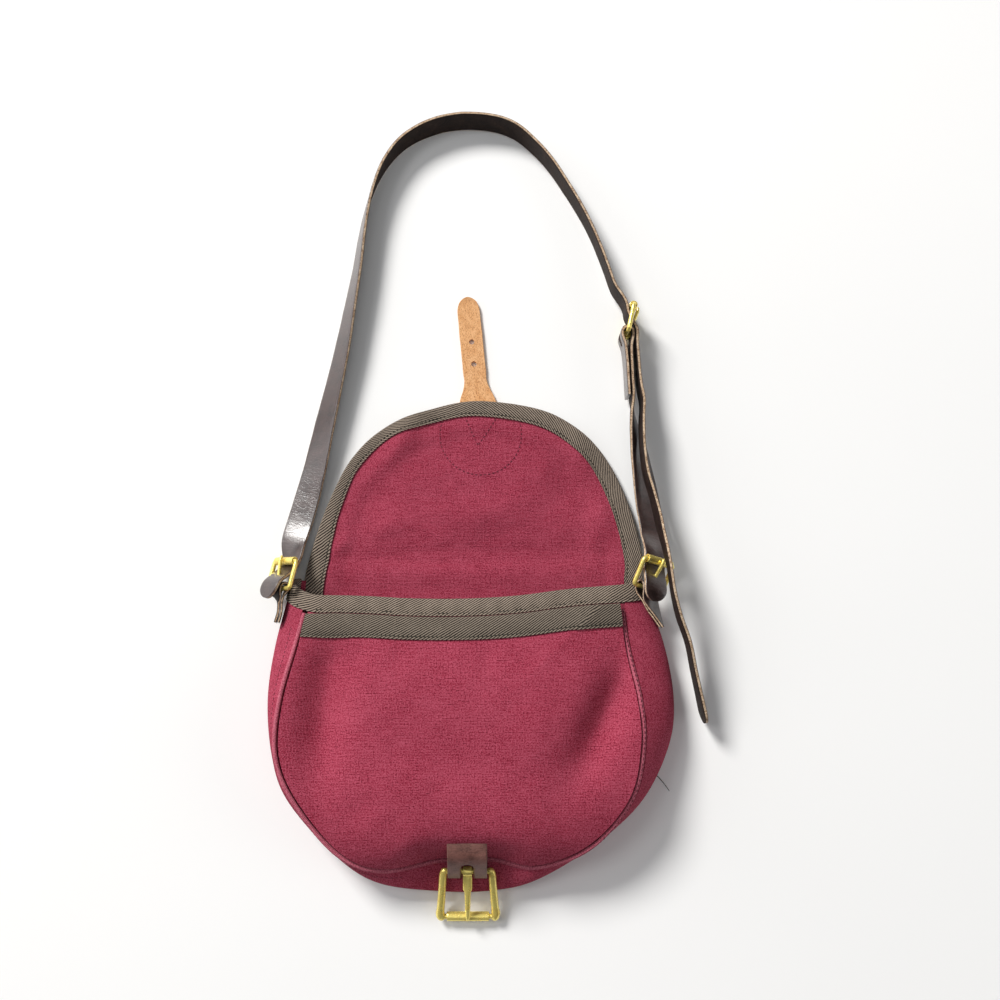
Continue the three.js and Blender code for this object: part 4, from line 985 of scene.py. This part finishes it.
# ------------------------------------------------------------ stitches
def stitch_mesh(name, runs, material, body="bag", slot=None, carrier=None):
    """Runs of (points, normals, pitch, length, radius): short rounded threads lying on a surface."""
    points, faces, uv = [], [], []
    ring_at = np.array([-1, -0.82, -0.45, 0, 0.45, 0.82, 1])
    ring_r = np.array([0.3, 0.72, 0.98, 1.05, 0.98, 0.72, 0.3])
    dip = np.array([-0.55, -0.25, 0.0, 0.12, 0.0, -0.25, -0.55])
    sides = 8
    q = np.linspace(0, 2 * math.pi, sides, endpoint=False)
    for p, n, pitch, length, radius in runs:
        k = lengths(p)
        count = max(int(k[-1] / pitch), 1)
        for i in range(count):
            mid = (i + 0.5) * k[-1] / count
            wobble = 0.12 * math.sin(i * 12.9898)
            at = np.array([mid - 0.3, mid, mid + 0.3])
            c = np.stack([np.interp(at, k, p[:, a]) for a in range(3)], -1)
            nn = unit(np.array([np.interp(mid, k, n[:, a]) for a in range(3)]))
            t = unit(c[2] - c[0])
            b = unit(np.cross(nn, t))
            t = unit(t + b * wobble * 0.6)
            b = unit(np.cross(nn, t))
            base = len(points)
            for a, r, h in zip(ring_at, ring_r, dip):
                centre = c[1] + t * (a * length / 2) + nn * (h * radius * 1.3)
                points += [centre + b * (math.cos(w) * r * radius) + nn * (math.sin(w) * r * radius * 0.8) for w in q]
            for r in range(len(ring_at) - 1):
                for j in range(sides):
                    j2 = (j + 1) % sides
                    faces.append([base + r * sides + j, base + (r + 1) * sides + j, base + (r + 1) * sides + j2, base + r * sides + j2])
                    uv.append([(r * 0.4 + i, j * 0.2), (r * 0.4 + 0.4 + i, j * 0.2), (r * 0.4 + 0.4 + i, j * 0.2 + 0.2), (r * 0.4 + i, j * 0.2 + 0.2)])
            for r, rev in ((0, False), (len(ring_at) - 1, True)):
                ring = [base + r * sides + j for j in range(sides)]
                faces.append(ring[::-1] if rev else ring)
                uv.append([(i, 0.2 * j) for j in range(sides)])
    obj = closed(name, np.array(points), faces, uv, [material], sharp=0)
    return finish_piece(obj, body, (), slot)


def tape_row(edge, width, n, stitch=2.0, gap=TAPE_GAP, press=0.8, trim=(0, 0)):
    d = np.broadcast_to(width, (n,)) - stitch
    p, nn = edge(d)
    h = CANVAS / 2 + gap * (1 - press) + TAPE + 0.05
    a, b = trim
    return (p + nn * h)[a:n - b], nn[a:n - b]


rows = []
p, nn = tape_row(mouth_edge, MOUTH_TAPE, 222, trim=(28, 28))
rows.append((p, nn, 2.9, 2.3, 0.34))
p, nn = tape_row(mouth_edge, MOUTH_TAPE, 222, trim=(0, 196))
rows.append((p, nn, 2.9, 2.3, 0.34))
p, nn = tape_row(mouth_edge, MOUTH_TAPE, 222, trim=(196, 0))
rows.append((p, nn, 2.9, 2.3, 0.34))
p, nn = tape_row(lambda d: pocket_edge(np.broadcast_to(d, (180,))), POCKET_TAPE, 180, gap=TAPE_GAP + 0.25)
rows.append((p, nn, 2.9, 2.3, 0.34))
p, nn = tape_row(flap_edge, flap_width, 300)
rows.append((p, nn, 2.9, 2.3, 0.34))
stitch_mesh("tape_stitches", rows, DARK_THREAD, slot="tape")

rows = []
ang = np.radians(np.linspace(158, 382, 160))
circle = np.stack([-13.8 + 29 * np.cos(ang), 46 + 29 * np.sin(ang)], -1)
p, nn = on(back_z, circle[:, 0], circle[:, 1])
rows.append((p + nn * (CANVAS / 2 + 0.08), nn, 3.0, 2.2, 0.42))
for a, b in (((-24.5, 57.5), (-15.7, 38.4)), ((-15.7, 38.4), (-2.6, 58.0))):
    q = np.linspace(a, b, 20)
    p, nn = on(back_z, q[:, 0], q[:, 1])
    rows.append((p + nn * (CANVAS / 2 + 0.08), nn, 2.9, 2.1, 0.4))
ss = np.linspace(0.7, 6.4, 160)
g, gnn, _, _ = gusset(ss, np.full_like(ss, 0.875))
rows.append((g + gnn * (CANVAS / 2 + 0.05), gnn, 3.1, 2.1, 0.3))
stitch_mesh("canvas_stitches", rows, RED_THREAD, slot="canvas")
right = ws > 10.2                                   # the seam's own row shows where the welt is sunken
stitch_mesh("seam_stitches", [((welt_mid + wu * (welt_high + 0.05)[:, None])[right], wu[right], 3.3, 1.8, 0.36)], SEAM_THREAD, slot="canvas")

# loose thread end at the lower right edge
q = np.linspace(0, 1, 16)
line = gusset_point(11.5, 0.2) + vec(11.6, -12.2, -3.4) * (1.25 * q - 0.25)[:, None] + vec(0.8, 0.7, 0.9) * np.sin(3.0 * q)[:, None]
lt = unit(np.gradient(line, axis=0))
lu = unit(np.cross(lt, np.broadcast_to(vec(0, 0, 1), lt.shape)))
finish_piece(tube("loose_thread", sweep(line, lu, np.cross(lu, lt), 0.36 - 0.14 * q, 0.36 - 0.14 * q, 10), lengths(line), np.linspace(0, 2.2, 11), [DARK_THREAD], sharp=0), "bag", (), "tape")

# ------------------------------------------------------------ leather ribbons
def ribbon(name, rows, width, tips, materials=None, step=2.2, cup=0.0, seed=1, wave=0.12, thick=LEATHER):
    """Flat strap through rows of (point, width direction); ends rounded by tip lengths."""
    p0 = np.array([r[0] for r in rows])
    s0 = np.array([r[1] for r in rows])
    knots = lengths(p0)
    total = knots[-1]
    path, sideways = Along(knots, p0), Along(knots, s0)
    at = [np.linspace(a, b, max(int(math.ceil((b - a) / step)), 1), endpoint=False) for a, b in zip(knots[:-1], knots[1:])]
    at = np.concatenate(at + [[total]])
    extra = []
    for k, tip in enumerate(tips):
        if tip:
            q = tip * np.array([0.004, 0.02, 0.05, 0.1, 0.17, 0.26, 0.36, 0.48, 0.62, 0.8])
            extra.append(q if k == 0 else total - q)
    if extra:
        at = np.unique(np.concatenate([at] + extra).round(4))
    p = path(at)
    t = unit(path(at + 0.2) - path(at - 0.2))
    w = sideways(at)
    w = unit(w - t * np.sum(w * t, -1, keepdims=True))
    out = np.cross(w, t)
    h = np.full(len(at), width / 2)
    for d, tip in ((at, tips[0]), (total - at, tips[1])):
        if tip:
            h = np.minimum(h, width / 2 * np.sqrt(np.clip(1 - np.clip(1 - d / tip, 0, 1) ** 2, 0.0025, 1)))
    h = h + 0.1 * noise(at / 9, 0 * at, seed)
    e, r = thick / 2, 0.5
    across = np.linspace(-1, 1, 9)
    corner = np.radians([22, 45, 68])
    # section as (share of half width, inset from the edge, thickness)
    sec = []
    for q in across:
        sec.append((q * (1.0), -abs(q) * r, e))
    for c in corner:
        sec.append((1.0, -r + r * math.sin(c), e - r + r * math.cos(c)))
    sec.append((1.0, 0.0, (e - r)))
    sec.append((1.0, 0.0, -(e - r)))
    for c in corner[::-1]:
        sec.append((1.0, -r + r * math.sin(c), -(e - r + r * math.cos(c))))
    for q in across[::-1]:
        sec.append((q, -abs(q) * r, -e))
    for c in corner:
        sec.append((-1.0, -r + r * math.sin(c), -(e - r + r * math.cos(c))))
    sec.append((-1.0, 0.0, -(e - r)))
    sec.append((-1.0, 0.0, e - r))
    for c in corner[::-1]:
        sec.append((-1.0, -r + r * math.sin(c), e - r + r * math.cos(c)))
    m = len(sec)
    strip = []
    for j in range(m):
        a, b = sec[j], sec[(j + 1) % m]
        raw = abs(a[2]) == e - r and abs(b[2]) == e - r
        strip.append(2 if raw else 0 if (a[2] + b[2]) > 0 else 1)
    rings = np.zeros((len(at), m, 3))
    bowing = wave * noise(at / 15, 0 * at + 0.5, seed + 5) + 0.5 * wave * noise(at / 5.5, 0 * at + 0.5, seed + 6)
    for j, (q, d, z) in enumerate(sec):
        x = np.sign(q) * np.maximum(np.abs(q) * h + d, 0.02)
        zz = z + bowing - cup * (q * q - 0.33)
        rings[:, j] = p + w * x[:, None] + out * zz[:, None]
    edge_len = np.linalg.norm(np.diff(np.array([(q * width / 2 + (d if q > 0 else -d), z) for q, d, z in sec] + [(sec[0][0] * width / 2 - sec[0][1], sec[0][2])]), axis=0), axis=1)
    around = np.concatenate([[0], np.cumsum(edge_len)])
    # inner faces take the darker leather copy, which is painted shade
    mats = materials or [HIDE, INSIDE_HIDE_SHADE, EDGE]
    obj = tube(name, rings, at, around, mats, strip, sharp=50)
    return obj, dict(at=at, p=p, t=t, w=w, out=out, total=total)


def frame_at(o, b, c, mirrored):
    b = unit(b)
    c = unit(np.asarray(c, float) - b * np.dot(c, b))
    a = np.cross(c, b) if mirrored else np.cross(b, c)
    return dict(o=np.asarray(o, float), a=a, b=b, c=c)


def at(f, x, y, z):
    return f["o"] + f["a"] * x + f["b"] * y + f["c"] * z


loop_radius = BAR + 2.4 * GAP + LEATHER / 2
LEFT = frame_at(vec(-151.5, -64, 15.5), vec(0.2, 0.97, -0.12), vec(-0.667, 0.224, 0.699), False)
RIGHT = frame_at(vec(100.8, -64, 18.8), vec(0.36, 0.9, 0.26), vec(0.4662, -0.4132, 0.7848), True)
ADJUSTER = frame_at(vec(90.5, 117, 15.2), vec(0.217, 0.976, 0), vec(0.976, -0.217, 0), True)


def free_rows(rows):
    got = []
    for i, (x, y, lift, lean) in enumerate(rows):
        a, b = rows[max(i - 1, 0)], rows[min(i + 1, len(rows) - 1)]
        t = unit(vec(b[0] - a[0], b[1] - a[1], 0))
        c, s = math.cos(math.radians(lean)), math.sin(math.radians(lean))
        got.append((vec(x, y, lift + STRAP_WIDTH / 2 * c + LEATHER / 2 * abs(s)), vec(t[1] * s, -t[0] * s, c)))
    return got


def fastened(f, rows):
    return [(at(f, 0, a, o), f["a"]) for a, o in rows]


def loop_rows(f, radius, start, stop, n):
    q = np.radians(np.linspace(start, stop, n + 1))
    return [(at(f, 0, math.cos(k) * radius, math.sin(k) * radius), f["a"]) for k in q]


toward_tip = FASTENED[::-1]
long_rows = fastened(LEFT, FASTENED) + free_rows(LONG_ROWS) + fastened(ADJUSTER, toward_tip[:-1]) + free_rows(TAIL_ROWS)
long_strap, long_line = ribbon("shoulder_strap_long", long_rows, STRAP_WIDTH, (9, 9), seed=21)
finish_piece(long_strap, "bag", ["long_strap"], "leather")


def layer_rows(column):
    return [(vec(r[column], r[0], r[3] + STRAP_WIDTH / 2), vec(0, 0, 1)) for r in FOLD_BACK]


short_rows = layer_rows(1) + loop_rows(ADJUSTER, loop_radius, -80, 80, 6) + layer_rows(2)[::-1] + free_rows(SHORT_ROWS) + fastened(RIGHT, RIDING[::-1])
short_strap, short_line = ribbon("shoulder_strap_short", short_rows, STRAP_WIDTH, (0, 9), seed=22)


def slot_tool(f, half, back, flare=0.0):
    """Long hole through a strap, open towards the buckle, its upper rim cut wider by flare."""
    q = np.linspace(0, math.pi, 17)
    layers = []
    for z, h in ((-8.0, half), (LEATHER, half), (8.0, half + flare * (8.0 - LEATHER))):
        rim = [(-h, 8.0)] + [(-h * math.cos(k), -back - h * math.sin(k)) for k in q] + [(h, 8.0)]
        layers.append([at(f, x, y, z) for x, y in rim])
    n = len(layers[0])
    flat = np.array(layers).reshape(-1, 3)
    faces = [[b + i, b + (i + 1) % n, b + n + (i + 1) % n, b + n + i] for b in (0, n) for i in range(n)]
    faces += [list(range(n))[::-1], [2 * n + i for i in range(n)]]
    return closed("slot_tool", flat, faces, [[(flat[v][0], flat[v][1]) for v in f2] for f2 in faces], [FLESH], sharp=0)


boolean(short_strap, slot_tool(ADJUSTER, 2.9, 6))
finish_piece(short_strap, "bag", ["short_strap"], "leather")


def side_tab(name, f, s, sign, table_rows, opening, seed):
    root = np.array([0.5])

    def sewn(r, layer):
        q = on_gusset(float(s), sign, root)(np.array([float(r[0])]))[0][0]
        out = unit(vec(r[2], 0, r[3]))
        across = unit(np.cross(vec(0, 1, 0), out))
        return (q + out * (r[1] + layer * (SIDE_LEATHER + LAYER_GAP)), across if across[2] > 0 else -across)
    rows = [sewn(r, 0) for r in table_rows] + loop_rows(f, loop_radius, opening - 270, opening - 90, 6) + [sewn(r, 1) for r in table_rows[::-1]]
    obj, line = ribbon(name, rows, SIDE_TAB_WIDTH, (0, 0), seed=seed, wave=0.06, thick=SIDE_LEATHER)
    boolean(obj, slot_tool(f, 2.9, 2))
    return obj, line


left_tab, left_line = side_tab("left_side_tab", LEFT, 0, 1, LEFT_TAB, 198, 31)
finish_piece(left_tab, "bag", ["left_tab"], "leather")
right_tab, right_line = side_tab("right_side_tab", RIGHT, LAST, -1, RIGHT_TAB, 142, 32)
finish_piece(right_tab, "bag", ["right_tab"], "leather")

# closing tab
C_LOOP = C_BAR + GAP + LEATHER / 2
foot, foot_n, _, _ = gusset(C_STATION, C_FOOT)
bar_point = foot + foot_n * (CANVAS / 2 + GAP + C_LOOP + LEATHER / 2 + TAB_RIDE)
bar_point[0] = C_X
fall = math.asin((bar_point[2] - C_ROLLER_Z) / C_REACH)
CLOSURE = frame_at(bar_point, vec(0, -math.cos(fall), -math.sin(fall)), vec(0, -math.sin(fall), math.cos(fall)), True)
RIGHTWARD = vec(1, 0, 0)


def seat(y, layer):
    p, n = on(pocket_z, np.array([C_X]), np.array([float(y)]))
    return p[0] + n[0] * (CANVAS / 2 + GAP + LEATHER / 2 + TAB_RIDE + layer * (LEATHER + LAYER_GAP)), RIGHTWARD


def tucked(y, layer):
    p, n = on(pocket_z, np.array([C_X]), np.array([float(y)]))
    return p[0] + n[0] * (layer * (LEATHER + LAYER_GAP) - 5.4), RIGHTWARD


to_bag = unit((seat(-231, 0)[0] + seat(-231, 1)[0]) / 2 - bar_point)
TAB = frame_at(bar_point, -to_bag, vec(0, -to_bag[2], to_bag[1]), True)
bowed = (seat(-231, 1)[0] + at(TAB, 0, 0, C_LOOP)) / 2 + TAB["c"] * 1.1, RIGHTWARD
tab_rows = [tucked(-225, 0), seat(-231, 0), seat(-235.5, 0)] + loop_rows(TAB, C_LOOP, -90, 90, 8) + [bowed, seat(-231, 1), tucked(-225, 1)]
tab, tab_line = ribbon("closing_tab", tab_rows, TAB_WIDTH, (0, 0), [TAB_HIDE, INSIDE_HIDE_SHADE, EDGE], step=1.4, seed=41, wave=0.05)
boolean(tab, slot_tool(TAB, C_SLOT, 11.0, 0.45), folded=True)
finish_piece(tab, "bag", ["closure_tab"], "leather")

# flap strap with its round base, flesh side up
R = PATCH_R


def bezier(a, b, c, d, n):
    t = np.linspace(0, 1, n, endpoint=False)[:, None]
    a, b, c, d = (np.array(q, float) for q in (a, b, c, d))
    return a * (1 - t) ** 3 + 3 * b * t * (1 - t) ** 2 + 3 * c * t * t * (1 - t) + d * t ** 3


arc_q = np.linspace(-math.pi / 2, 0, 40, endpoint=False)
side_line = np.concatenate([
    np.stack([R * np.cos(arc_q), R * np.sin(arc_q)], -1),
    bezier((R, 0), (R, 15), (15, 14), (13.2, 25), 20),
    bezier((13.2, 25), (12, 32), (8.4, 34), (8.2, 44), 14),
    np.stack([np.linspace(8.2, 8.4, 30, endpoint=False), np.linspace(44, 94, 30, endpoint=False)], -1),
    bezier((8.4, 94), (8.4, 101), (4, 105.4), (0, 105.4), 16),
    [[0, 105.4]],
])
tilt = math.radians(PATCH_TILT)


def strap_point(x, y):
    """Local strap coordinates to the frame, with a little bow of the free end."""
    bow = 0.9 * step01((y - 40) / 40) * (0.5 + 0.5 * np.sin(y / 19.0))
    lift = np.where(y > 36, bow, 0)
    return np.stack([PATCH_X + x * math.cos(tilt) - y * math.sin(tilt), PATCH_Y + x * math.sin(tilt) + y * math.cos(tilt), lift], -1)


hw, yy = np.maximum(side_line[:, 0], 0.05), side_line[:, 1]
hw = hw + np.where((yy > 30) & (yy < 100), 0.22 * noise(yy / 7, 0 * yy, 51), 0)
across = np.linspace(-1, 1, 13)
sec = [(q, 0.0, LEATHER) for q in across] + [(1, 0.28, LEATHER - 0.35), (1, 0.35, LEATHER / 2), (1, 0.28, 0.35)]
sec += [(q, 0.0, 0.02) for q in across[::-1]] + [(-1, 0.28, 0.35), (-1, 0.35, LEATHER / 2), (-1, 0.28, LEATHER - 0.35)]
rings = np.zeros((len(yy), len(sec), 3))
for j, (q, d, z) in enumerate(sec):
    x = q * np.maximum(hw - 0.35, 0.02) + np.sign(q) * d * (1 if abs(q) == 1 else 0)
    rings[:, j] = strap_point(x, yy)
    rings[:, j, 2] += z
strip = [0] * 12 + [2] * 4 + [1] * 12 + [2] * 4
strip = strip[:len(sec)]
yl = lengths(np.stack([0 * yy, yy], -1))
arc_len = np.concatenate([[0], np.cumsum([2.4] * 12 + [0.6] * 4 + [2.4] * 12 + [0.6] * 4)])[:len(sec) + 1]
flap_strap = tube("flap_strap_leather", rings, yl, arc_len, [FLESH, HIDE, FLESH], strip, sharp=45)


def cylinder_tool(centre, radius, low_z, high_z):
    q = np.linspace(0, 2 * math.pi, 28, endpoint=False)
    ring = np.stack([centre[0] + radius * np.cos(q), centre[1] + radius * np.sin(q)], -1)
    pts = np.concatenate([np.c_[ring, np.full(28, low_z)], np.c_[ring, np.full(28, high_z)]])
    faces = [[i, (i + 1) % 28, 28 + (i + 1) % 28, 28 + i] for i in range(28)] + [list(range(28))[::-1], list(range(28, 56))]
    return closed("hole_tool", pts, faces, [[(0, 0)] * len(f) for f in faces], [EDGE], sharp=0)


for y in HOLES:
    c = strap_point(np.array([0.0]), np.array([y]))[0]
    boolean(flap_strap, cylinder_tool(c, HOLE_RADIUS, -3, 8))
finish_piece(flap_strap, "bag", ["flap_strap"], "leather")

# ------------------------------------------------------------ buckles
def smooth_loop(rows, per):
    pts = np.array(rows, float)
    return closed_catmull(pts, np.arange(len(pts) * per) / per)


def ring_rod(name, f, half, sides, per, flat=1.0, seed=1):
    loop = [list(q) for q in half] + [[-x, y, r] for x, y, r in half[1:-1][::-1]]
    pts = smooth_loop(loop, per)
    p = f["o"] + pts[:, :1] * f["a"] + pts[:, 1:2] * f["b"]
    t = unit(np.roll(p, -1, 0) - np.roll(p, 1, 0))
    c = np.broadcast_to(f["c"], p.shape)
    u = np.cross(t, c)
    k = np.arange(len(p))
    wob = 1 + 0.025 * noise(k / 5.0, 0 * k, seed)
    rings = sweep(p, u, c, pts[:, 2] * wob, pts[:, 2] * flat * wob, sides)
    along = lengths(np.concatenate([p, p[:1]]))
    return tube(name, rings, along, np.linspace(0, 10, sides + 1), [BRASS], closed_path=True, sharp=0)


def lathe_on_bar(f, y, profile, segments):
    q = np.linspace(0, 2 * math.pi, segments, endpoint=False)
    pts = []
    for r, x in profile:
        pts.append([at(f, x, y + r * math.cos(k), r * math.sin(k)) for k in q])
    return np.array(pts)


def roller(name, f, r_in, r_out, half, y):
    b = 0.28
    prof = [(r_in, -half + b), (r_in + b, -half), (r_out - b, -half), (r_out - 0.08, -half + 0.09), (r_out, -half + b)]
    prof += [(r_out, x) for x in np.linspace(-half + 1.2, half - 1.2, 10)]
    prof += [(q, -x) for q, x in prof[:5][::-1]]
    prof += [(r_in, x) for x in np.linspace(half - 1.2, -half + 1.2, 6)]
    pts = lathe_on_bar(f, y, prof, 40)
    n, m = pts.shape[:2]
    rings = pts
    faces, corner = [], []
    for i in range(n):
        i2 = (i + 1) % n
        for j in range(m):
            j2 = (j + 1) % m
            faces.append([i * m + j, i2 * m + j, i2 * m + j2, i * m + j2])
            corner.append([(prof[i][1], j * 0.45), (prof[i2][1], j * 0.45), (prof[i2][1], j * 0.45 + 0.45), (prof[i][1], j * 0.45 + 0.45)])
    return closed(name, rings.reshape(-1, 3), faces, corner, [BRASS], sharp=30)


def prong(name, f, rows, r_in, r_out, half, per=6):
    b = 0.3
    prof = [(r_in, -half + b), (r_in + b, -half), (r_out - b, -half), (r_out - 0.08, -half + 0.1), (r_out, -half + b), (r_out, 0.0)]
    prof += [(q, -x) for q, x in prof[:5][::-1]]
    pts = lathe_on_bar(f, 0, prof, 36)
    n, m = pts.shape[:2]
    faces, corner = [], []
    for i in range(n):
        i2 = (i + 1) % n
        for j in range(m):
            j2 = (j + 1) % m
            faces.append([i * m + j, i2 * m + j, i2 * m + j2, i * m + j2])
            corner.append([(i, j * 0.5), (i + 1, j * 0.5), (i + 1, j * 0.5 + 0.5), (i, j * 0.5 + 0.5)])
    ring_obj = closed(name, pts.reshape(-1, 3), faces, corner, [BRASS], sharp=30)
    rr = np.array(rows, float)
    k = np.linspace(0, len(rr) - 1, (len(rr) - 1) * per + 1)
    y, z, wide, thick = (catmull(rr[:, c], k) for c in range(4))
    p = f["o"] + y[:, None] * f["b"] + z[:, None] * f["c"]
    t = unit(np.gradient(p, axis=0))
    v = np.cross(t, np.broadcast_to(f["a"], p.shape))
    v = np.where(np.sum(v * f["c"], -1, keepdims=True) < 0, -v, v)
    tip = np.array([1.0] * len(k))
    rod_rings = sweep(p, np.broadcast_to(f["a"], p.shape), v, wide * tip, thick * tip, 18)
    cap = p[-1] + t[-1] * np.array([0.35, 0.62, 0.72])[:, None] * thick[-1]
    for c, r in zip(cap, (0.86, 0.55, 0.15)):
        rod_rings = np.concatenate([rod_rings, sweep(c[None], f["a"][None], v[-1:], wide[-1] * r, thick[-1] * r, 18)])
    pp = np.concatenate([p, cap])
    rod = tube("prong_rod", rod_rings, lengths(pp), np.linspace(0, 8, 19), [BRASS], sharp=0)
    return boolean(ring_obj, rod, "UNION")


POST = BUCKLE_INNER / 2 + BAR
LR = BUCKLE_REACH
SIDE_RING = [[0, 0, BAR], [6, 0, BAR], [POST - 2.4, 0, BAR], [POST - 0.7, 0.6, BAR], [POST, 2.4, BAR], [POST, LR / 2, BAR], [POST, LR - 2.4, BAR], [POST - 0.7, LR - 0.6, BAR], [POST - 2.4, LR, BAR], [6, LR, BAR], [0, LR, BAR]]
SIDE_PRONG = [[1.9, 0.7, 1.7, 0.9], [5, 1.6, 1.4, 1.1], [11, 2.9, PRONG, PRONG], [LR - 1, ROLLER_OUT + PRONG + 0.2, PRONG, PRONG], [LR + 2.2, ROLLER_OUT + PRONG, 0.9, 0.9]]
for k, (name, f) in enumerate((("left", LEFT), ("right", RIGHT), ("adjuster", ADJUSTER))):
    finish_piece(ring_rod(f"{name}_buckle_frame", f, SIDE_RING, 18, 5, seed=60 + k), "bag", [f"{name}_frame"], "brass")
    finish_piece(roller(f"{name}_buckle_roller", f, ROLLER_IN, ROLLER_OUT, BUCKLE_INNER / 2 - 0.5, LR), "bag", [f"{name}_roller"], "brass")
    finish_piece(prong(f"{name}_buckle_prong", f, SIDE_PRONG, BAR + 0.3, BAR + 1.5, 1.9), "bag", [f"{name}_prong"], "brass")

CL = C_REACH
CLOSE_RING = [[0, 0, C_BAR], [8, 0, C_BAR], [13, 0, C_BAR], [15, -0.3, 2], [15.9, 2.4, 2.4], [16.5, 11, 2.5], [17.3, 22, 2.5], [17.9, CL - 6, 2.6], [18.2, CL - 2.4, 2.9], [17.5, CL + 0.2, 2.8], [15.8, CL, 1.85], [14.4, CL, C_BAR], [8, CL, C_BAR], [0, CL, C_BAR]]
CLOSE_PRONG = [[1.9, 1.0, 3, 1.0], [6, 2.2, 3, 1.2], [11.5, 3.2, 2.9, 1.3], [13.5, 3.5, 2.1, 1.3], [22, 4.1, 1.8, 1.3], [CL - 4, C_ROLLER_OUT + 1.5, 1.4, 1.2], [CL - 0.6, C_ROLLER_OUT + 1.35, 1, 1]]
finish_piece(ring_rod("closing_buckle_frame", CLOSURE, CLOSE_RING, 22, 6, seed=70), "buckle_frame", ["closure_frame"], "brass")
finish_piece(roller("closing_buckle_roller", CLOSURE, C_ROLLER_IN, C_ROLLER_OUT, 13.8, CL), "buckle_roller", ["closure_roller"], "brass")
finish_piece(prong("closing_buckle_prong", CLOSURE, CLOSE_PRONG, C_BAR + 0.3, C_BAR + 1.6, 3.0), "buckle_prong", ["closure_prong"], "brass")

# ------------------------------------------------------------ cloth facts
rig.sheet(back, flat=(0.248, 0.316), held="laid", rests_on=["flap_strap"], area=0.0648)
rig.sheet(side, flat=(0.05, 0.56), held="stretched", area=0.0197)
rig.sheet(wall, flat=(0.236, 0.184), held="stretched", area=0.0372)
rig.sheet(pocket, flat=(0.236, 0.171), held="stretched", area=0.0346)
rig.sheet(mouth_tape, flat=mouth_cut, held="folded")
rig.sheet(pocket_tape, flat=pocket_cut, held="folded")
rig.sheet(flap_tape, flat=flap_cut, held="folded")

# ------------------------------------------------------------ floor and light
n = Net("pale_floor")
n.set(Base_Color=n.mix(n.noise(n.place, 3.0, 3.0), (0.9, 0.9, 0.898, 1), (0.93, 0.93, 0.928, 1)), Roughness=0.9, Specular_IOR_Level=0.1)
floor_mesh = bpy.data.meshes.new("floor")
floor_mesh.from_pydata([(-4, -4, -0.0004), (4, -4, -0.0004), (4, 4, -0.0004), (-4, 4, -0.0004)], [], [(0, 1, 2, 3)])
floor_mesh.uv_layers.new(name="cloth")
floor_mesh.materials.append(n.material)
floor = bpy.data.objects.new("floor", floor_mesh)
bpy.context.scene.collection.objects.link(floor)
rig.stage(floor)


def area_light(name, place, aim, size, power, tint):
    data = bpy.data.lights.new(name, "AREA")
    data.shape, data.size, data.energy, data.color = "DISK", size, power, tint
    obj = bpy.data.objects.new(name, data)
    obj.location = place
    obj.rotation_euler = (Vector(aim) - Vector(place)).to_track_quat("-Z", "Y").to_euler()
    bpy.context.scene.collection.objects.link(obj)
    return obj


area_light("key", (-2.77, 3.31, 3.38), (0, -0.05, 0.02), 1.7, 342, (1.0, 0.985, 0.96))
area_light("left", (-3.6, 0.7, 1.5), (0, 0.0, 0.02), 2.4, 26, (0.97, 0.985, 1.0))
area_light("right", (3.5, -0.5, 1.5), (0, -0.1, 0.02), 2.4, 20, (1.0, 0.99, 0.97))
area_light("top", (0.2, -0.1, 3.0), (0, 0, 0), 2.5, 9, (1.0, 1.0, 1.0))
area_light("sheen", (-1.75, 0.55, 3.0), (0, 0, 0.02), 1.1, 15, (1.0, 1.0, 1.0))
world = bpy.data.worlds.new("studio")
world.use_nodes = True
world.node_tree.nodes["Background"].inputs[0].default_value = (0.95, 0.97, 1.0, 1)
world.node_tree.nodes["Background"].inputs[1].default_value = 0.13
bpy.context.scene.world = world
bpy.context.scene.view_settings.view_transform = "Standard"
bpy.context.scene.view_settings.look = "None"

low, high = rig.bounds()
with open("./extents.json", "w") as out:
    json.dump({"cad": [list(cad_low), list(cad_high)], "visual": [list(low), list(high)]}, out)
